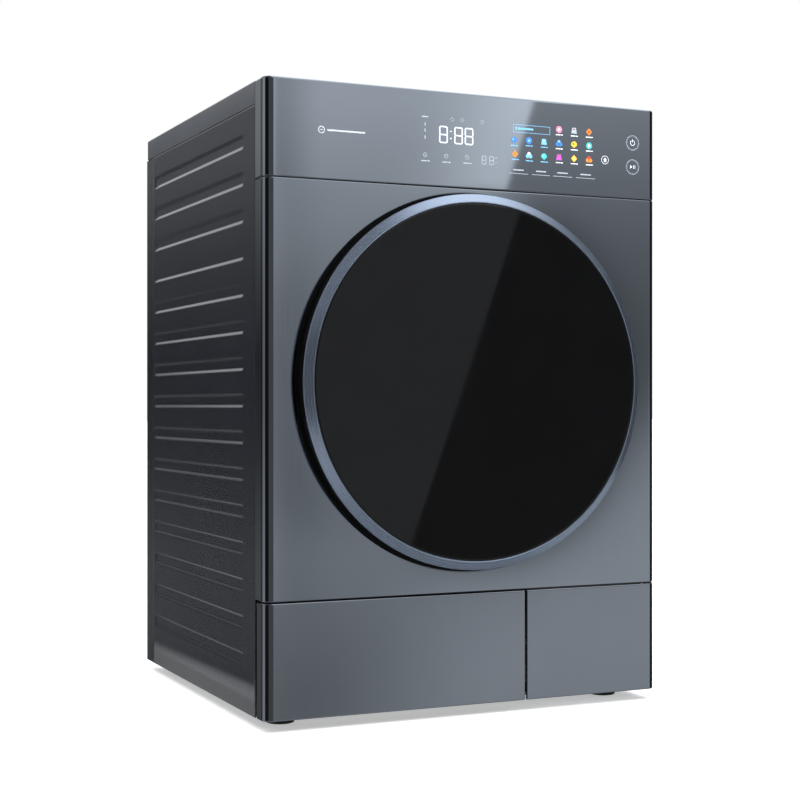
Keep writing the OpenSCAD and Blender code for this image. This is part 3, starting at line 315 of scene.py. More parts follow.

# %% [markdown]
# The front is pre-coated steel with a brushed print: fine upright lines under a clear coat. Noise
# squeezed in X and stretched in Z gives the lines. The coat keeps the mirror image sharp while
# the metal below stays soft, which is what such panels look like in a shop. The folded returns at
# the corners get a darker base colour: that is painted shade, for faces turned away from the light.

# %% Brushed fronts
UPRIGHT = (1, 1, 0.004)
finish("front_steel", (0.31, 0.345, 0.39), (0.35, 0.385, 0.43), (0.07, 0.11), metal=1.0, coat=0.25,
       scale=2600, patch=3, stretch=UPRIGHT, strength=0.05, depth=0.00001, Coat_Roughness=0.03)
finish("fascia_metal", (0.31, 0.345, 0.39), (0.34, 0.375, 0.42), (0.02, 0.035), metal=1.0, coat=0.6,
       scale=2600, patch=3, stretch=UPRIGHT, strength=0.03, depth=0.000004, Coat_Roughness=0.02)
finish("plinth_metal", (0.29, 0.32, 0.36), (0.33, 0.36, 0.40), (0.10, 0.15), metal=1.0, coat=0.25,
       scale=2600, patch=3, stretch=UPRIGHT, strength=0.10, depth=0.00002, Coat_Roughness=0.03)
for name in ("front_steel", "fascia_metal", "plinth_metal"):
    tree = MADE[name].node_tree
    shader = tree.nodes["Principled BSDF"]
    # Painted shade: near the side edges the base colour is mixed toward a dark grey-blue.
    x = add(tree, "ShaderNodeSeparateXYZ", {0: add(tree, "ShaderNodeTexCoord").outputs["Object"]}).outputs[0]
    at_side = ease(tree, calc(tree, "ABSOLUTE", x), HALF_W - 0.9 * MM, HALF_W - 0.2 * MM)
    print_colour = shader.inputs["Base Color"].links[0].from_socket
    painted_shade_returns = add(tree, "ShaderNodeMix", {6: print_colour, 7: (0.11, 0.125, 0.15, 1)}, data_type="RGBA")
    tree.links.new(at_side, painted_shade_returns.inputs[0])
    tree.links.new(painted_shade_returns.outputs[2], shader.inputs["Base Color"])
print("brushed finishes ready")

# %% [markdown]
# The sides and the top are powder coated: a dark blue-grey satin with a barely visible orange
# peel. The orange peel is a noise of about 2 mm, much shallower than it is wide.

# %% Satin paint
finish("side_steel", (0.009, 0.0105, 0.015), (0.012, 0.014, 0.019), (0.12, 0.16), coat=0.2, scale=520,
       patch=5, strength=0.012, depth=0.00002, Coat_Roughness=0.08)
finish("worktop_finish", (0.045, 0.049, 0.058), (0.055, 0.060, 0.070), (0.33, 0.42), coat=0.1, scale=700,
       patch=8, strength=0.14, depth=0.00005, Coat_Roughness=0.25)
print("satin paint ready")

# %% [markdown]
# The door ring is turned and anodised aluminium, so its fine lines run round the door. The
# distance from the door's axis goes into the noise in place of a position: every point of one
# circle then gets the same value, and the lines close on themselves.

# %% Turned aluminium
def turned(name, dark, light, rough, scale, axis_z, metal=1.0, coat=0.3):
    material, tree, shader = new_material(name)
    spot = place(tree, (1, 0, 1), (0, 0, -axis_z))
    reach = add(tree, "ShaderNodeVectorMath", {0: spot}, operation="LENGTH").outputs["Value"]
    lines = add(tree, "ShaderNodeTexNoise", {"W": reach, "Scale": scale, "Detail": 2.0},
                noise_dimensions="1D").outputs["Fac"]
    soft = noise(tree, place(tree), 6, 3)
    tree.links.new(shade(tree, soft, dark, light), shader.inputs["Base Color"])
    tree.links.new(spread(tree, lines, rough[0], rough[1]), shader.inputs["Roughness"])
    relief(tree, shader, lines, 0.2, 0.00003)
    shader.inputs["Metallic"].default_value = metal
    shader.inputs["Coat Weight"].default_value = coat
    MADE[name] = material
    return material, tree, shader

turned("ring_metal", (0.33, 0.40, 0.52), (0.37, 0.44, 0.57), (0.20, 0.28), 3000, AXIS_Z, metal=0.9)
turned("machined_steel", (0.50, 0.51, 0.53), (0.58, 0.59, 0.60), (0.25, 0.38), 1500, AXIS_Z, coat=0.0)
print("turned finishes ready")

# %% [markdown]
# The door glass is printed black from behind, so it is a mirror with a very dark body. A faint
# slow wave in the surface is what makes a reflected edge look like glass instead of plastic.

# %% Glass
finish("black_glass", (0.0012, 0.0012, 0.0014), (0.0020, 0.0020, 0.0022), (0.015, 0.03), coat=0.0, scale=9,
       patch=20, strength=0.03, depth=0.0002, IOR=1.46)
shader = finish("clear_window", (0.60, 0.64, 0.68), (0.66, 0.70, 0.74), (0.02, 0.05),
                scale=12, patch=20, strength=0.03, depth=0.0002, IOR=1.47)[2]
shader.inputs["Transmission Weight"].default_value = 0.92
print("glass ready")

# %% [markdown]
# Moulded plastics share one recipe: a spark-eroded texture of about a quarter of a millimetre,
# with slow drifts of tone. Only the colours and the gloss differ from part to part.

# %% Plastics and rubber
for name, dark, light, rough in (
        ("black_plastic", (0.0035, 0.0035, 0.004), (0.0055, 0.0055, 0.006), (0.40, 0.52)),
        ("grey_plastic", (0.10, 0.105, 0.11), (0.125, 0.13, 0.135), (0.42, 0.56)),
        ("rubber", (0.012, 0.012, 0.013), (0.020, 0.020, 0.021), (0.60, 0.78)),
        ("lock_plastic", (0.55, 0.55, 0.52), (0.62, 0.62, 0.58), (0.36, 0.50)),
        ("blue_plastic", (0.03, 0.13, 0.36), (0.04, 0.16, 0.42), (0.30, 0.42)),
        ("roller_plastic", (0.58, 0.56, 0.50), (0.66, 0.64, 0.57), (0.38, 0.52))):
    finish(name, dark, light, rough, scale=2400, patch=22, strength=0.25, depth=0.00006)
shader = finish("tank_plastic", (0.50, 0.55, 0.60), (0.58, 0.63, 0.68), (0.25, 0.40),
                scale=1800, patch=16, strength=0.15, depth=0.00005)[2]
shader.inputs["Transmission Weight"].default_value = 0.25
print("plastics ready")

# %% [markdown]
# Behind the panels there is bare metal. Galvanised sheet has crystal flowers a few millimetres
# wide, which Voronoi cells give; cast and pressed parts are even and dull; copper is stained.

# %% Bare metals
for name, dark, light, rough, scale in (
        ("motor_steel", (0.28, 0.29, 0.30), (0.36, 0.37, 0.38), (0.35, 0.52), 900),
        ("copper", (0.42, 0.20, 0.10), (0.62, 0.31, 0.17), (0.22, 0.42), 500)):
    finish(name, dark, light, rough, metal=1.0, scale=scale, patch=30, strength=0.2)
finish("compressor_black", (0.010, 0.010, 0.011), (0.018, 0.018, 0.019), (0.28, 0.44), coat=0.3,
       scale=600, patch=24, strength=0.2)
finish("aluminium_fins", (0.55, 0.57, 0.59), (0.68, 0.70, 0.72), (0.25, 0.45), metal=1.0, scale=260,
       patch=40, stretch=(1, 6, 1), strength=0.5, depth=0.0004)
tree, shader = finish("galvanised", (0.40, 0.42, 0.44), (0.52, 0.54, 0.56), (0.30, 0.50),
                      metal=1.0, scale=900, patch=60, strength=0.1)[1:]
flowers = add(tree, "ShaderNodeTexVoronoi", {"Vector": place(tree), "Scale": 160.0})
tree.links.new(shade(tree, flowers.outputs["Color"], (0.46, 0.48, 0.50), (0.54, 0.56, 0.58)),
               shader.inputs["Base Color"])
tree.links.new(spread(tree, flowers.outputs["Color"], 0.28, 0.5), shader.inputs["Roughness"])
print("bare metals ready")

# %% [markdown]
# The drum is stainless steel pressed in a honeycomb of shallow cells, which keeps the laundry off
# the metal. Wrapping a pattern round a drum needs its own coordinates: the angle round the axis
# and the depth, both turned into metres, drive a Voronoi pattern whose cell edges are raised.

# %% Honeycomb stainless
def honeycomb(name, axis_z, radius, cell):
    material, tree, shader = new_material(name)
    spot = add(tree, "ShaderNodeSeparateXYZ", {0: place(tree, shift=(0, 0, -axis_z))})
    angle = add(tree, "ShaderNodeMath", {0: spot.outputs["Z"], 1: spot.outputs["X"]}, operation="ARCTAN2")
    along = add(tree, "ShaderNodeMath", {0: angle.outputs[0], 1: radius}, operation="MULTIPLY")
    flat = add(tree, "ShaderNodeCombineXYZ", {"X": along.outputs[0], "Y": spot.outputs["Y"]})
    cells = add(tree, "ShaderNodeTexVoronoi", {"Vector": flat.outputs[0], "Scale": 1 / cell,
                                               "Randomness": 0.0}, feature="DISTANCE_TO_EDGE")
    edge = add(tree, "ShaderNodeMapRange", {"Value": cells.outputs["Distance"], "From Max": 0.16,
                                            "To Min": 1.0, "To Max": 0.0}, interpolation_type="SMOOTHSTEP")
    relief(tree, shader, edge.outputs[0], 0.6, 0.0012)
    brushed = noise(tree, place(tree, (1, 0.01, 1)), 1800, 2)
    tree.links.new(shade(tree, brushed, (0.52, 0.53, 0.55), (0.60, 0.61, 0.63)), shader.inputs["Base Color"])
    tree.links.new(spread(tree, brushed, 0.18, 0.32), shader.inputs["Roughness"])
    shader.inputs["Metallic"].default_value = 1.0
    MADE[name] = material

honeycomb("stainless", AXIS_Z, RING_R, 0.030)
print("drum steel ready")

# %% [markdown]
# Three finishes are woven, printed or matted: felt seals are a tangle of fibres, the control board
# is green lacquer over straight copper tracks, and the lint filter is a fine mesh of holes.

# %% Felt, circuit board and filter mesh
finish("felt", (0.50, 0.47, 0.41), (0.62, 0.59, 0.52), (0.85, 0.97), scale=1400, patch=160,
       stretch=(1, 0.35, 1), strength=0.9, depth=0.0006, Sheen_Weight=0.5)
tree, shader = finish("board_green", (0.010, 0.055, 0.026), (0.016, 0.085, 0.040), (0.25, 0.38),
                      coat=0.4, scale=900, patch=30, strength=0.1)[1:]
tracks = add(tree, "ShaderNodeTexBrick", {
    "Vector": place(tree, turn=FACING), "Scale": 60.0, "Mortar Size": 0.04,
    "Color1": (0.010, 0.060, 0.028, 1), "Color2": (0.014, 0.075, 0.035, 1), "Mortar": (0.03, 0.16, 0.07, 1)})
tree.links.new(tracks.outputs["Color"], shader.inputs["Base Color"])
tree, shader = finish("filter_plastic", (0.06, 0.065, 0.075), (0.08, 0.085, 0.095), (0.40, 0.55),
                      scale=1500, patch=30, strength=0.15)[1:]
weave = add(tree, "ShaderNodeTexBrick", {
    "Vector": place(tree, turn=FACING), "Scale": 900.0, "Mortar Size": 0.12}, offset=0.0)
relief(tree, shader, weave.outputs["Fac"], 0.7, 0.0003)
print(len(MADE), "finishes made")

# %% [markdown]
# ## Pieces
# A new piece takes the place of a plain measured part. It is made in metres in the dryer's own
# frame, rides on the same body as the part it stands for, and keeps that part's finish slot.
# Faces that meet gently are shaded as one surface; sharper folds stay crisp.

# %% Helpers for pieces
FOLD = math.radians(38)

def body_of(node):
    return frame["nodes"][node]["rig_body"]

def finished(piece, node, slot, replaces=True):
    """Gives a piece its finish, its body and its slot, and lets it stand for a measured part."""
    piece.data.materials.append(MADE[slot])
    piece.data.shade_smooth()
    piece.data.set_sharp_from_angle(angle=FOLD)
    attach(piece, body_of(node))
    if replaces:
        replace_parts(piece, node)
    return piece

def piece_from(name, shape, turn_out=True):
    """Turns a bmesh into a linked object, with its faces turned outward."""
    bmesh.ops.remove_doubles(shape, verts=shape.verts, dist=1e-6)
    if turn_out:
        bmesh.ops.recalc_face_normals(shape, faces=shape.faces)
    data = bpy.data.meshes.new(name)
    shape.to_mesh(data)
    shape.free()
    return link(bpy.data.objects.new(name, data))

def thicken(piece, wall):
    skin = piece.modifiers.new("wall", "SOLIDIFY")
    skin.thickness, skin.offset = wall, -1
    return piece

# %% [markdown]
# ### Wrapped front panels
# Fascia, front panel and plinth panels are sheets folded round both front corners. Their plan is
# one line: back along the side, round the corner, across the front. A list of such points with
# their outward directions is swept upward, and near the top and foot it is drawn inward along a
# quarter circle, which gives the rolled edge that catches a thin line of light.

# %% A rounded plan line
ARC_STEPS = 12
SUPPORT = 0.6 * MM

def rounded_line(corners, radii):
    """Points and outward directions along a line of straight runs with rounded corners."""
    made = []
    for i, corner in enumerate(corners):
        here = Vector(corner)
        if i in (0, len(corners) - 1):
            run = (Vector(corners[1]) - here) if i == 0 else (here - Vector(corners[-2]))
            made.append((here, Vector((run.y, -run.x)).normalized()))
            continue
        before = (here - Vector(corners[i - 1])).normalized()
        after = (Vector(corners[i + 1]) - here).normalized()
        r = radii[i]
        out_a, out_b = Vector((before.y, -before.x)), Vector((after.y, -after.x))
        centre = here - before * r - out_a * r
        made.append((here - before * (r + SUPPORT), out_a))
        for k in range(ARC_STEPS + 1):
            turn = math.pi / 2 * k / ARC_STEPS
            out = out_a * math.cos(turn) + out_b * math.sin(turn)
            made.append((centre + out * r, out))
        made.append((here + after * (r + SUPPORT), out_b))
    return made

def edge_levels(low, high, r_low, r_high, steps=5):
    """Heights with how far the skin is drawn in there, for a rolled foot and a rolled top."""
    levels = [(low + r_low - r_low * math.sin(t), r_low - r_low * math.cos(t))
              for t in (math.pi / 2 * (1 - k / steps) for k in range(steps + 1))]
    levels += [(low + r_low + SUPPORT, 0.0), (high - r_high - SUPPORT, 0.0)]
    levels += [(high - r_high + r_high * math.sin(t), r_high - r_high * math.cos(t))
               for t in (math.pi / 2 * k / steps for k in range(steps + 1))]
    return levels

def sweep(line, levels, close_top=False):
    """A skin through every point of the plan line at every height."""
    shape = bmesh.new()
    rows = [[shape.verts.new((p.x - out.x * inset, FRONT_Y + p.y - out.y * inset, z)) for p, out in line]
            for z, inset in levels]
    for low, high in zip(rows, rows[1:]):
        for i in range(len(line) - 1):
            shape.faces.new((low[i], low[i + 1], high[i + 1], high[i]))
    if close_top:
        shape.faces.new(rows[-1])
    return shape

def wrap(x_from, x_to, reach, edge_r, wall):
    """Plan line of a front from one side to the other; an end inside the front just turns in."""
    corners, radii = [], []
    for x, side in ((x_from, -1), (x_to, 1)):
        at_side = abs(abs(x) - HALF_W) < 1e-4
        pair = [(x, reach if at_side else wall), (x, 0)]
        radius = [0, CORNER_R if at_side else edge_r]
        corners += pair if side < 0 else pair[::-1]
        radii += radius if side < 0 else radius[::-1]
    return rounded_line(corners, radii)

print("a full wrap has", len(wrap(-HALF_W, HALF_W, RETURN, 0, 0)), "points")

# %% [markdown]
# The fascia is a moulding with a soft top edge that runs into a narrow top shelf. It is 3 mm
# thick, so its edges are rounder than those of the steel panel below it.

# %% Control fascia
FASCIA_WALL = 3 * MM
low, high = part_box("control_fascia")
FASCIA_LOW = low.z
full = wrap(-HALF_W, HALF_W, RETURN, 0, 0)
fascia = piece_from("fascia_moulding", sweep(full, edge_levels(low.z, high.z, 0.9 * MM, 2.6 * MM), True))
finished(thicken(fascia, FASCIA_WALL), "control_fascia", "fascia_metal")
print("fascia", len(fascia.data.vertices), "vertices")

# %% [markdown]
# ### Front panel
# The steel panel has a round hole for the door, and the edge of the hole is rolled inward. The
# flat front is taken out of the swept skin, and a flat face with a ring of two support circles
# goes in: the first keeps the front perfectly flat, the second starts the roll.

# %% Front panel with its rolled hole
HOLE_R = RING_R + 2.4 * MM
HOLE_STEPS = 160
ROLL = 1.6 * MM

def circle(shape, radius, depth):
    return [shape.verts.new((radius * math.cos(a), FRONT_Y + depth, AXIS_Z + radius * math.sin(a)))
            for a in (2 * math.pi * k / HOLE_STEPS for k in range(HOLE_STEPS))]

def join_rings(shape, one, two):
    for k in range(len(one)):
        n = (k + 1) % len(one)
        shape.faces.new((one[k], one[n], two[n], two[k]))

low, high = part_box("front_panel")
shape = sweep(full, edge_levels(low.z, high.z, 0.8 * MM, 0.8 * MM))
shape.faces.ensure_lookup_table()
flat = max(shape.faces, key=lambda f: f.calc_area())
border = list(flat.edges)
shape.faces.remove(flat)
rings = [circle(shape, HOLE_R + ROLL + extra, 0.0) for extra in (1.2 * MM, 0.0)]
rings += [circle(shape, HOLE_R + ROLL * (1 - math.sin(t)), ROLL * (1 - math.cos(t)))
          for t in (math.pi / 2 * k / 5 for k in range(1, 6))]
rings.append(circle(shape, HOLE_R, ROLL + 1.0 * MM))
hole = [shape.edges.new((rings[0][k], rings[0][(k + 1) % HOLE_STEPS])) for k in range(HOLE_STEPS)]
bmesh.ops.triangle_fill(shape, edges=border + hole, use_beauty=True, normal=(0, -1, 0))
for one, two in zip(rings, rings[1:]):
    join_rings(shape, one, two)
front = piece_from("front_steel_panel", shape)
finished(thicken(front, 1.2 * MM), "front_panel", "front_steel")
print("front panel", len(front.data.polygons), "faces, hole radius", round(HOLE_R, 4))

# %% [markdown]
# ### Plinth panels
# The wide panel is the service flap and the narrow one the front of the water tank. Both wrap
# round one corner only, and their inner ends turn in where they meet. Flat pins and lugs stay
# behind the flap, where they are seen when it is open.

# %% Service flap and tank front
PLINTH_WALL = 3 * MM
flap_low, flap_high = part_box("service_flap")
tank_low, tank_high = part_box("tank_front")
plinth_reach = tank_high.y - FRONT_Y
PLINTH_EDGE = 1.3 * MM
levels = edge_levels(tank_low.z, tank_high.z, PLINTH_EDGE, PLINTH_EDGE)

def bar(shape, low, high, r=0.5 * MM):
    """A moulded block with rounded edges, added to a shape."""
    made = bmesh.ops.create_cube(shape, size=1.0)["verts"]
    for v in made:
        v.co = Vector([lo if c < 0 else hi for c, lo, hi in zip(v.co, low, high)])
    edges = list({e for v in made for e in v.link_edges})
    bmesh.ops.bevel(shape, geom=edges, offset=r, segments=2, affect="EDGES", profile=0.5)

def post(shape, centre, axis, radius, length, steps=32, r=0.4 * MM):
    """A round post with chamfered ends, centred on a point, along X, Y or Z."""
    turn = {"X": Matrix.Rotation(math.pi / 2, 4, "Y"), "Y": Matrix.Rotation(math.pi / 2, 4, "X"),
            "Z": Matrix.Identity(4)}[axis]
    rings = []
    for z, rad in ((-length / 2, radius - r), (r - length / 2, radius), (length / 2 - r, radius),
                   (length / 2, radius - r)):
        rings.append([shape.verts.new(Vector(centre) + turn @ Vector(
            (rad * math.cos(2 * math.pi * k / steps), rad * math.sin(2 * math.pi * k / steps), z)))
            for k in range(steps)])
    for one, two in zip(rings, rings[1:]):
        join_rings(shape, one, two)
    shape.faces.new(rings[0])
    shape.faces.new(rings[-1])

flap = piece_from("service_flap_skin",
                  sweep(wrap(-HALF_W, flap_high.x, plinth_reach, PLINTH_EDGE, PLINTH_WALL), levels))
finished(thicken(flap, 2.4 * MM), "service_flap", "plinth_metal")
drawer = piece_from("tank_front_skin",
                    sweep(wrap(tank_low.x, HALF_W, plinth_reach, PLINTH_EDGE, PLINTH_WALL), levels))
finished(thicken(drawer, 2.4 * MM), "tank_front", "plinth_metal")

PIVOT_D, PIVOT_Z = 14 * MM, flap_low.z + 10 * MM
shape = bmesh.new()
bar(shape, (-HALF_W + CORNER_R, FRONT_Y + 2.5 * MM, flap_high.z - 4 * MM),
    (flap_high.x - 4 * MM, FRONT_Y + 9.5 * MM, flap_high.z - 1.2 * MM))
for ear in (-258 * MM, 54 * MM):
    lug = ear + 3.3 * MM
    bar(shape, (lug, FRONT_Y + 2.5 * MM, flap_low.z + 4 * MM),
        (lug + 4 * MM, FRONT_Y + PIVOT_D, flap_low.z + 16 * MM))
    post(shape, (lug + 2 * MM, FRONT_Y + PIVOT_D, PIVOT_Z), "X", 6 * MM, 4 * MM)
    post(shape, (ear + 2.15 * MM, FRONT_Y + PIVOT_D, PIVOT_Z), "X", 3 * MM, 10 * MM)
for k in range(6):
    x = -HALF_W + (40 + 58 * k) * MM
    bar(shape, (x, FRONT_Y + 2.2 * MM, flap_low.z + 22 * MM),
        (x + 2 * MM, FRONT_Y + 4.2 * MM, flap_high.z - 8 * MM))
finished(piece_from("service_flap_lugs", shape), "service_flap", "grey_plastic", replaces=False)
print("plinth panels", len(flap.data.polygons) + len(drawer.data.polygons), "faces, 3 pieces")

# %% [markdown]
# ### Dark strips in the seams
# A dark strip lies in the seam under the fascia and in the seam above the plinth, a little behind
# the skins, so that no light falls through: it is painted shade, standing for the dark inside of the
# cabinet. On the flap's side it sits further in, because the flap's folded edge rises a little when
# the flap swings open.

# %% Seam shade strips
SHADE_STRIP_IN, SHADE_STRIP_DEEP, SHADE_STRIP_WALL, SHADE_STRIP_LIP = 0.8 * MM, 3.3 * MM, 4 * MM, 0.1 * MM
panel_low, panel_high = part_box("front_panel")
right_line = rounded_line([(tank_low.x, 0), (HALF_W, 0), (HALF_W, RETURN)], [0, CORNER_R, 0])
left_line = rounded_line([(-HALF_W, RETURN), (-HALF_W, 0), (tank_low.x, 0)], [0, CORNER_R, 0])
# Each strip is a dark sheet put in a seam with the rubber finish: painted shade.
for name, line, inset, z_from, z_to in (
        ("fascia_seam_shade", full, SHADE_STRIP_IN, panel_high.z - SHADE_STRIP_LIP, FASCIA_LOW + SHADE_STRIP_LIP),
        ("plinth_seam_shade_right", right_line, SHADE_STRIP_IN, tank_high.z + 2 * SHADE_STRIP_LIP, panel_low.z + SHADE_STRIP_LIP),
        ("plinth_seam_shade_left", left_line, SHADE_STRIP_DEEP, flap_high.z + 6 * SHADE_STRIP_LIP, flap_high.z + 9 * MM)):
    seam_shade_strip = thicken(piece_from(name, sweep(line, [(z_from, inset), (z_to, inset)]), turn_out=False), SHADE_STRIP_WALL)
    finished(seam_shade_strip, "front_panel", "rubber", replaces=False)
print("seals from", round(z_from, 4), "to", round(FASCIA_LOW, 4))

# %% [markdown]
# ### Side panels with pressed ribs
# Each side is a thin sheet made stiff by fifteen shallow ribs. They are pressed inward, with a
# gentle lower slope and a steeper upper one. A grid of points is pushed in by a depth that comes
# from the distance to the rib's rounded outline, and the grid is dense only where the sheet
# bends, so a smooth press costs few points. A guard line outside each rib keeps the sheet flat.
# The right side is the left side's mirror image.

# %% Side panels
RIB_COUNT, RIB_H, RIB_PITCH, RIB_FIRST = 15, 20 * MM, 49.3 * MM, 69 * MM
RIB_PRESS, RIB_FROM, RIB_REAR, RIB_ROUND = 2.0 * MM, 84 * MM, 44 * MM, 6 * MM
GUARD, RIB_END = 1.4 * MM, 9.6 * MM
side_low, side_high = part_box("left_side_panel")

def soft_step(x, soft=0.16):
    """Rises from 0 to 1 in a straight line with rounded ends."""
    if x <= 0 or x >= 1:
        return 0.0 if x <= 0 else 1.0
    if x < soft:
        return x * x / (2 * soft * (1 - soft))
    if x > 1 - soft:
        return 1 - (1 - x) ** 2 / (2 * soft * (1 - soft))
    return (x - soft / 2) / (1 - soft)

def rib_depth(y, z, y_from, y_to):
    row = round((z - side_low.z - RIB_FIRST) / RIB_PITCH)
    off = z - side_low.z - RIB_FIRST - row * RIB_PITCH
    if row < 0 or row >= RIB_COUNT or abs(off) > RIB_H / 2:
        return 0.0
    out_y = abs(y - (y_from + y_to) / 2) - ((y_to - y_from) / 2 - RIB_ROUND)
    out_z = abs(off) - (RIB_H / 2 - RIB_ROUND)
    edge = math.hypot(max(out_y, 0), max(out_z, 0)) + min(max(out_y, out_z), 0) - RIB_ROUND
    slope = (4.6 - 1.2 * off / (RIB_H / 2)) * MM
    return RIB_PRESS * soft_step(-edge / slope)

def side_lines(starts, fine, span, first, last):
    """Grid positions: a fine run after each start, and the panel's two ends."""
    marks = {round(start + fine * k, 6) for start in starts for k in range(int(span / fine) + 1)}
    return [first] + sorted(m for m in marks if first + fine < m < last - fine) + [last]

def side_panel(name, side):
    y_from, y_to = FRONT_Y + RIB_FROM, side_high.y - RIB_REAR
    ys = side_lines((y_from - GUARD, y_to + GUARD - RIB_END), 0.8 * MM, RIB_END, side_low.y, side_high.y)
    rib_feet = [side_low.z + RIB_FIRST + k * RIB_PITCH - RIB_H / 2 - GUARD for k in range(RIB_COUNT)]
    zs = side_lines(rib_feet, 0.7 * MM, RIB_H + 2 * GUARD, side_low.z, side_high.z)
    edge_in = 1.0 * MM
    ys = [ys[0]] + [ys[0] + edge_in * k for k in (0.3, 1.0, 1.8)] + ys[1:]
    zs = zs[:-1] + [zs[-1] - edge_in * k for k in (1.8, 1.0, 0.3)] + [zs[-1]]
    shape = bmesh.new()
    rows = []
    for z in zs:
        drawn_top = max(0.0, (z - zs[-3]) / edge_in) ** 2 * edge_in
        row = []
        for y in ys:
            drawn = max(drawn_top, max(0.0, (ys[2] - y) / edge_in) ** 2 * edge_in)
            row.append(shape.verts.new((side * (HALF_W - drawn - rib_depth(y, z, y_from, y_to)), y, z)))
        rows.append(row)
    for low, high in zip(rows, rows[1:]):
        for i in range(len(ys) - 1):
            shape.faces.new((low[i], low[i + 1], high[i + 1], high[i])[::side])
    return piece_from(name, shape, turn_out=False)

for side, node in ((-1, "left_side_panel"), (1, "right_side_panel")):
    panel = thicken(side_panel(node.replace("_panel", "_sheet"), side), 1.2 * MM)
    finished(panel, node, "side_steel")
    print(panel.name, len(panel.data.vertices), "points")

# %% [markdown]
# ### Worktop
# The worktop is a board in a moulded skirt. Its long edges are rounded so that a cloth slides
# over them, and a shallow groove runs round the top just inside the edge.

# %% Worktop
low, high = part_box("worktop")
TOP_ROUND = 3 * MM
shape = bmesh.new()

def top_line(inset):
    """The board's outline drawn in by a distance, with the same number of points each time."""
    left, right, near, far = low.x + inset, high.x - inset, low.y + inset, high.y - inset
    rounds = [max(r * MM - inset, 0.3 * MM) for r in (1.5, 5, 5, 1.5)]
    corners = [(0, near), (right, near), (right, far), (left, far), (left, near), (0, near)]
    return [p for p, out in rounded_line(corners, [0] + rounds + [0])][:-1]

profile = [(low.z, 2 * MM), (low.z, 0.6 * MM), (low.z + 0.6 * MM, 0)]
profile += [(high.z - TOP_ROUND + TOP_ROUND * math.sin(t), TOP_ROUND * (1 - math.cos(t)))
            for t in (math.pi / 2 * k / 6 for k in range(7))]
profile += [(high.z, 9 * MM), (high.z - 0.8 * MM, 9.6 * MM), (high.z - 0.8 * MM, 11 * MM),
            (high.z, 11.6 * MM), (high.z, 16 * MM)]
rows = [[shape.verts.new((p.x, p.y, z)) for p in top_line(inset)] for z, inset in profile]
for one, two in zip(rows, rows[1:]):
    join_rings(shape, one, two)
shape.faces.new(rows[-1])
board_piece = finished(piece_from("worktop_board", shape), "worktop", "worktop_finish")
print("worktop", len(board_piece.data.polygons), "faces")

# %% [markdown]
# ### Door ring and glass
# The ring is turned from one blank, so it is one profile spun round the door's axis. Its slope
# faces the light, a narrow bright lip frames the glass, and the outer edge is broken by a small
# radius. The glass has a polished edge of its own, a hair lower than the lip.

# %% Spun profiles
SPIN_STEPS = 192

def spun(name, profile, steps=SPIN_STEPS, axis=(0.0, None)):
    """Spins a closed profile of (radius, depth) points round an axis along Y."""
    shape = bmesh.new()
    x0, z0 = axis[0], AXIS_Z if axis[1] is None else axis[1]
    rings = []
    for radius, depth in profile:
        if radius == 0:
            rings.append([shape.verts.new((x0, FRONT_Y + depth, z0))])
            continue
        rings.append([shape.verts.new((x0 + radius * math.cos(a), FRONT_Y + depth, z0 + radius * math.sin(a)))
                      for a in (2 * math.pi * k / steps for k in range(steps))])
    closed = len(rings[0]) > 1
    for one, two in zip(rings, rings[1:] + (rings[:1] if closed else [])):
        if len(one) == 1 or len(two) == 1:
            tip, rim = (one, two) if len(one) == 1 else (two, one)
            for k in range(len(rim)):
                shape.faces.new((tip[0], rim[k], rim[(k + 1) % len(rim)]))
        else:
            join_rings(shape, one, two)
    return piece_from(name, shape)

glass_low, glass_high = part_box("door_glass")
GLASS_R = (glass_high.x - glass_low.x) / 2
RING_BACK, RING_FACE = ring_high.y - FRONT_Y, ring_low.y - FRONT_Y
LIP_R = GLASS_R + 0.3 * MM
EDGE_D = -23.7 * MM
ring = spun("door_ring_turned", [
    (LIP_R - 5.3 * MM, RING_BACK), (RING_R - 0.6 * MM, RING_BACK), (RING_R, RING_BACK - 0.6 * MM),
    (RING_R, EDGE_D + 0.7 * MM), (RING_R - 0.25 * MM, EDGE_D), (RING_R - 1.0 * MM, EDGE_D - 0.65 * MM),
    (LIP_R + 2.6 * MM, RING_FACE + 1.3 * MM), (LIP_R + 1.9 * MM, RING_FACE + 0.75 * MM),
    (LIP_R + 1.5 * MM, RING_FACE + 0.15 * MM), (LIP_R + 1.2 * MM, RING_FACE),
    (LIP_R + 0.4 * MM, RING_FACE), (LIP_R + 0.05 * MM, RING_FACE + 0.3 * MM), (LIP_R, RING_FACE + 0.9 * MM),
    (LIP_R, RING_FACE + 4.4 * MM), (LIP_R - 5.3 * MM, RING_FACE + 4.4 * MM)])
finished(ring, "door_ring", "ring_metal")
glass_front = glass_low.y - FRONT_Y
glass_back = glass_high.y - FRONT_Y
glass = spun("door_glass_pane", [(GLASS_R * s, glass_front) for s in (0, 0.3, 0.6, 0.85)] + [
    (GLASS_R - 2.6 * MM, glass_front), (GLASS_R - 1.5 * MM, glass_front),
    (GLASS_R - 0.9 * MM, glass_front + 0.05 * MM), (GLASS_R - 0.3 * MM, glass_front + 0.35 * MM),
    (GLASS_R, glass_front + 1.0 * MM),
    (GLASS_R, glass_back - 0.4 * MM), (GLASS_R - 0.4 * MM, glass_back), (0, glass_back)])
finished(glass, "door_glass", "black_glass")
print("ring radius", round(RING_R, 4), "glass radius", round(GLASS_R, 4))

# %% [markdown]
# ### Printed and lit signs
# Behind the fascia's lacquer there is a display, a small colour screen and two touch rings. On
# this dryer they are drawn as hair-thin islands just above the surface, one mesh for each ink.
# Each shape is a flat outline; digits are seven hollow bars, as on a segment display. Marks and
# words are left out: short plain bars stand where a maker would print labels.

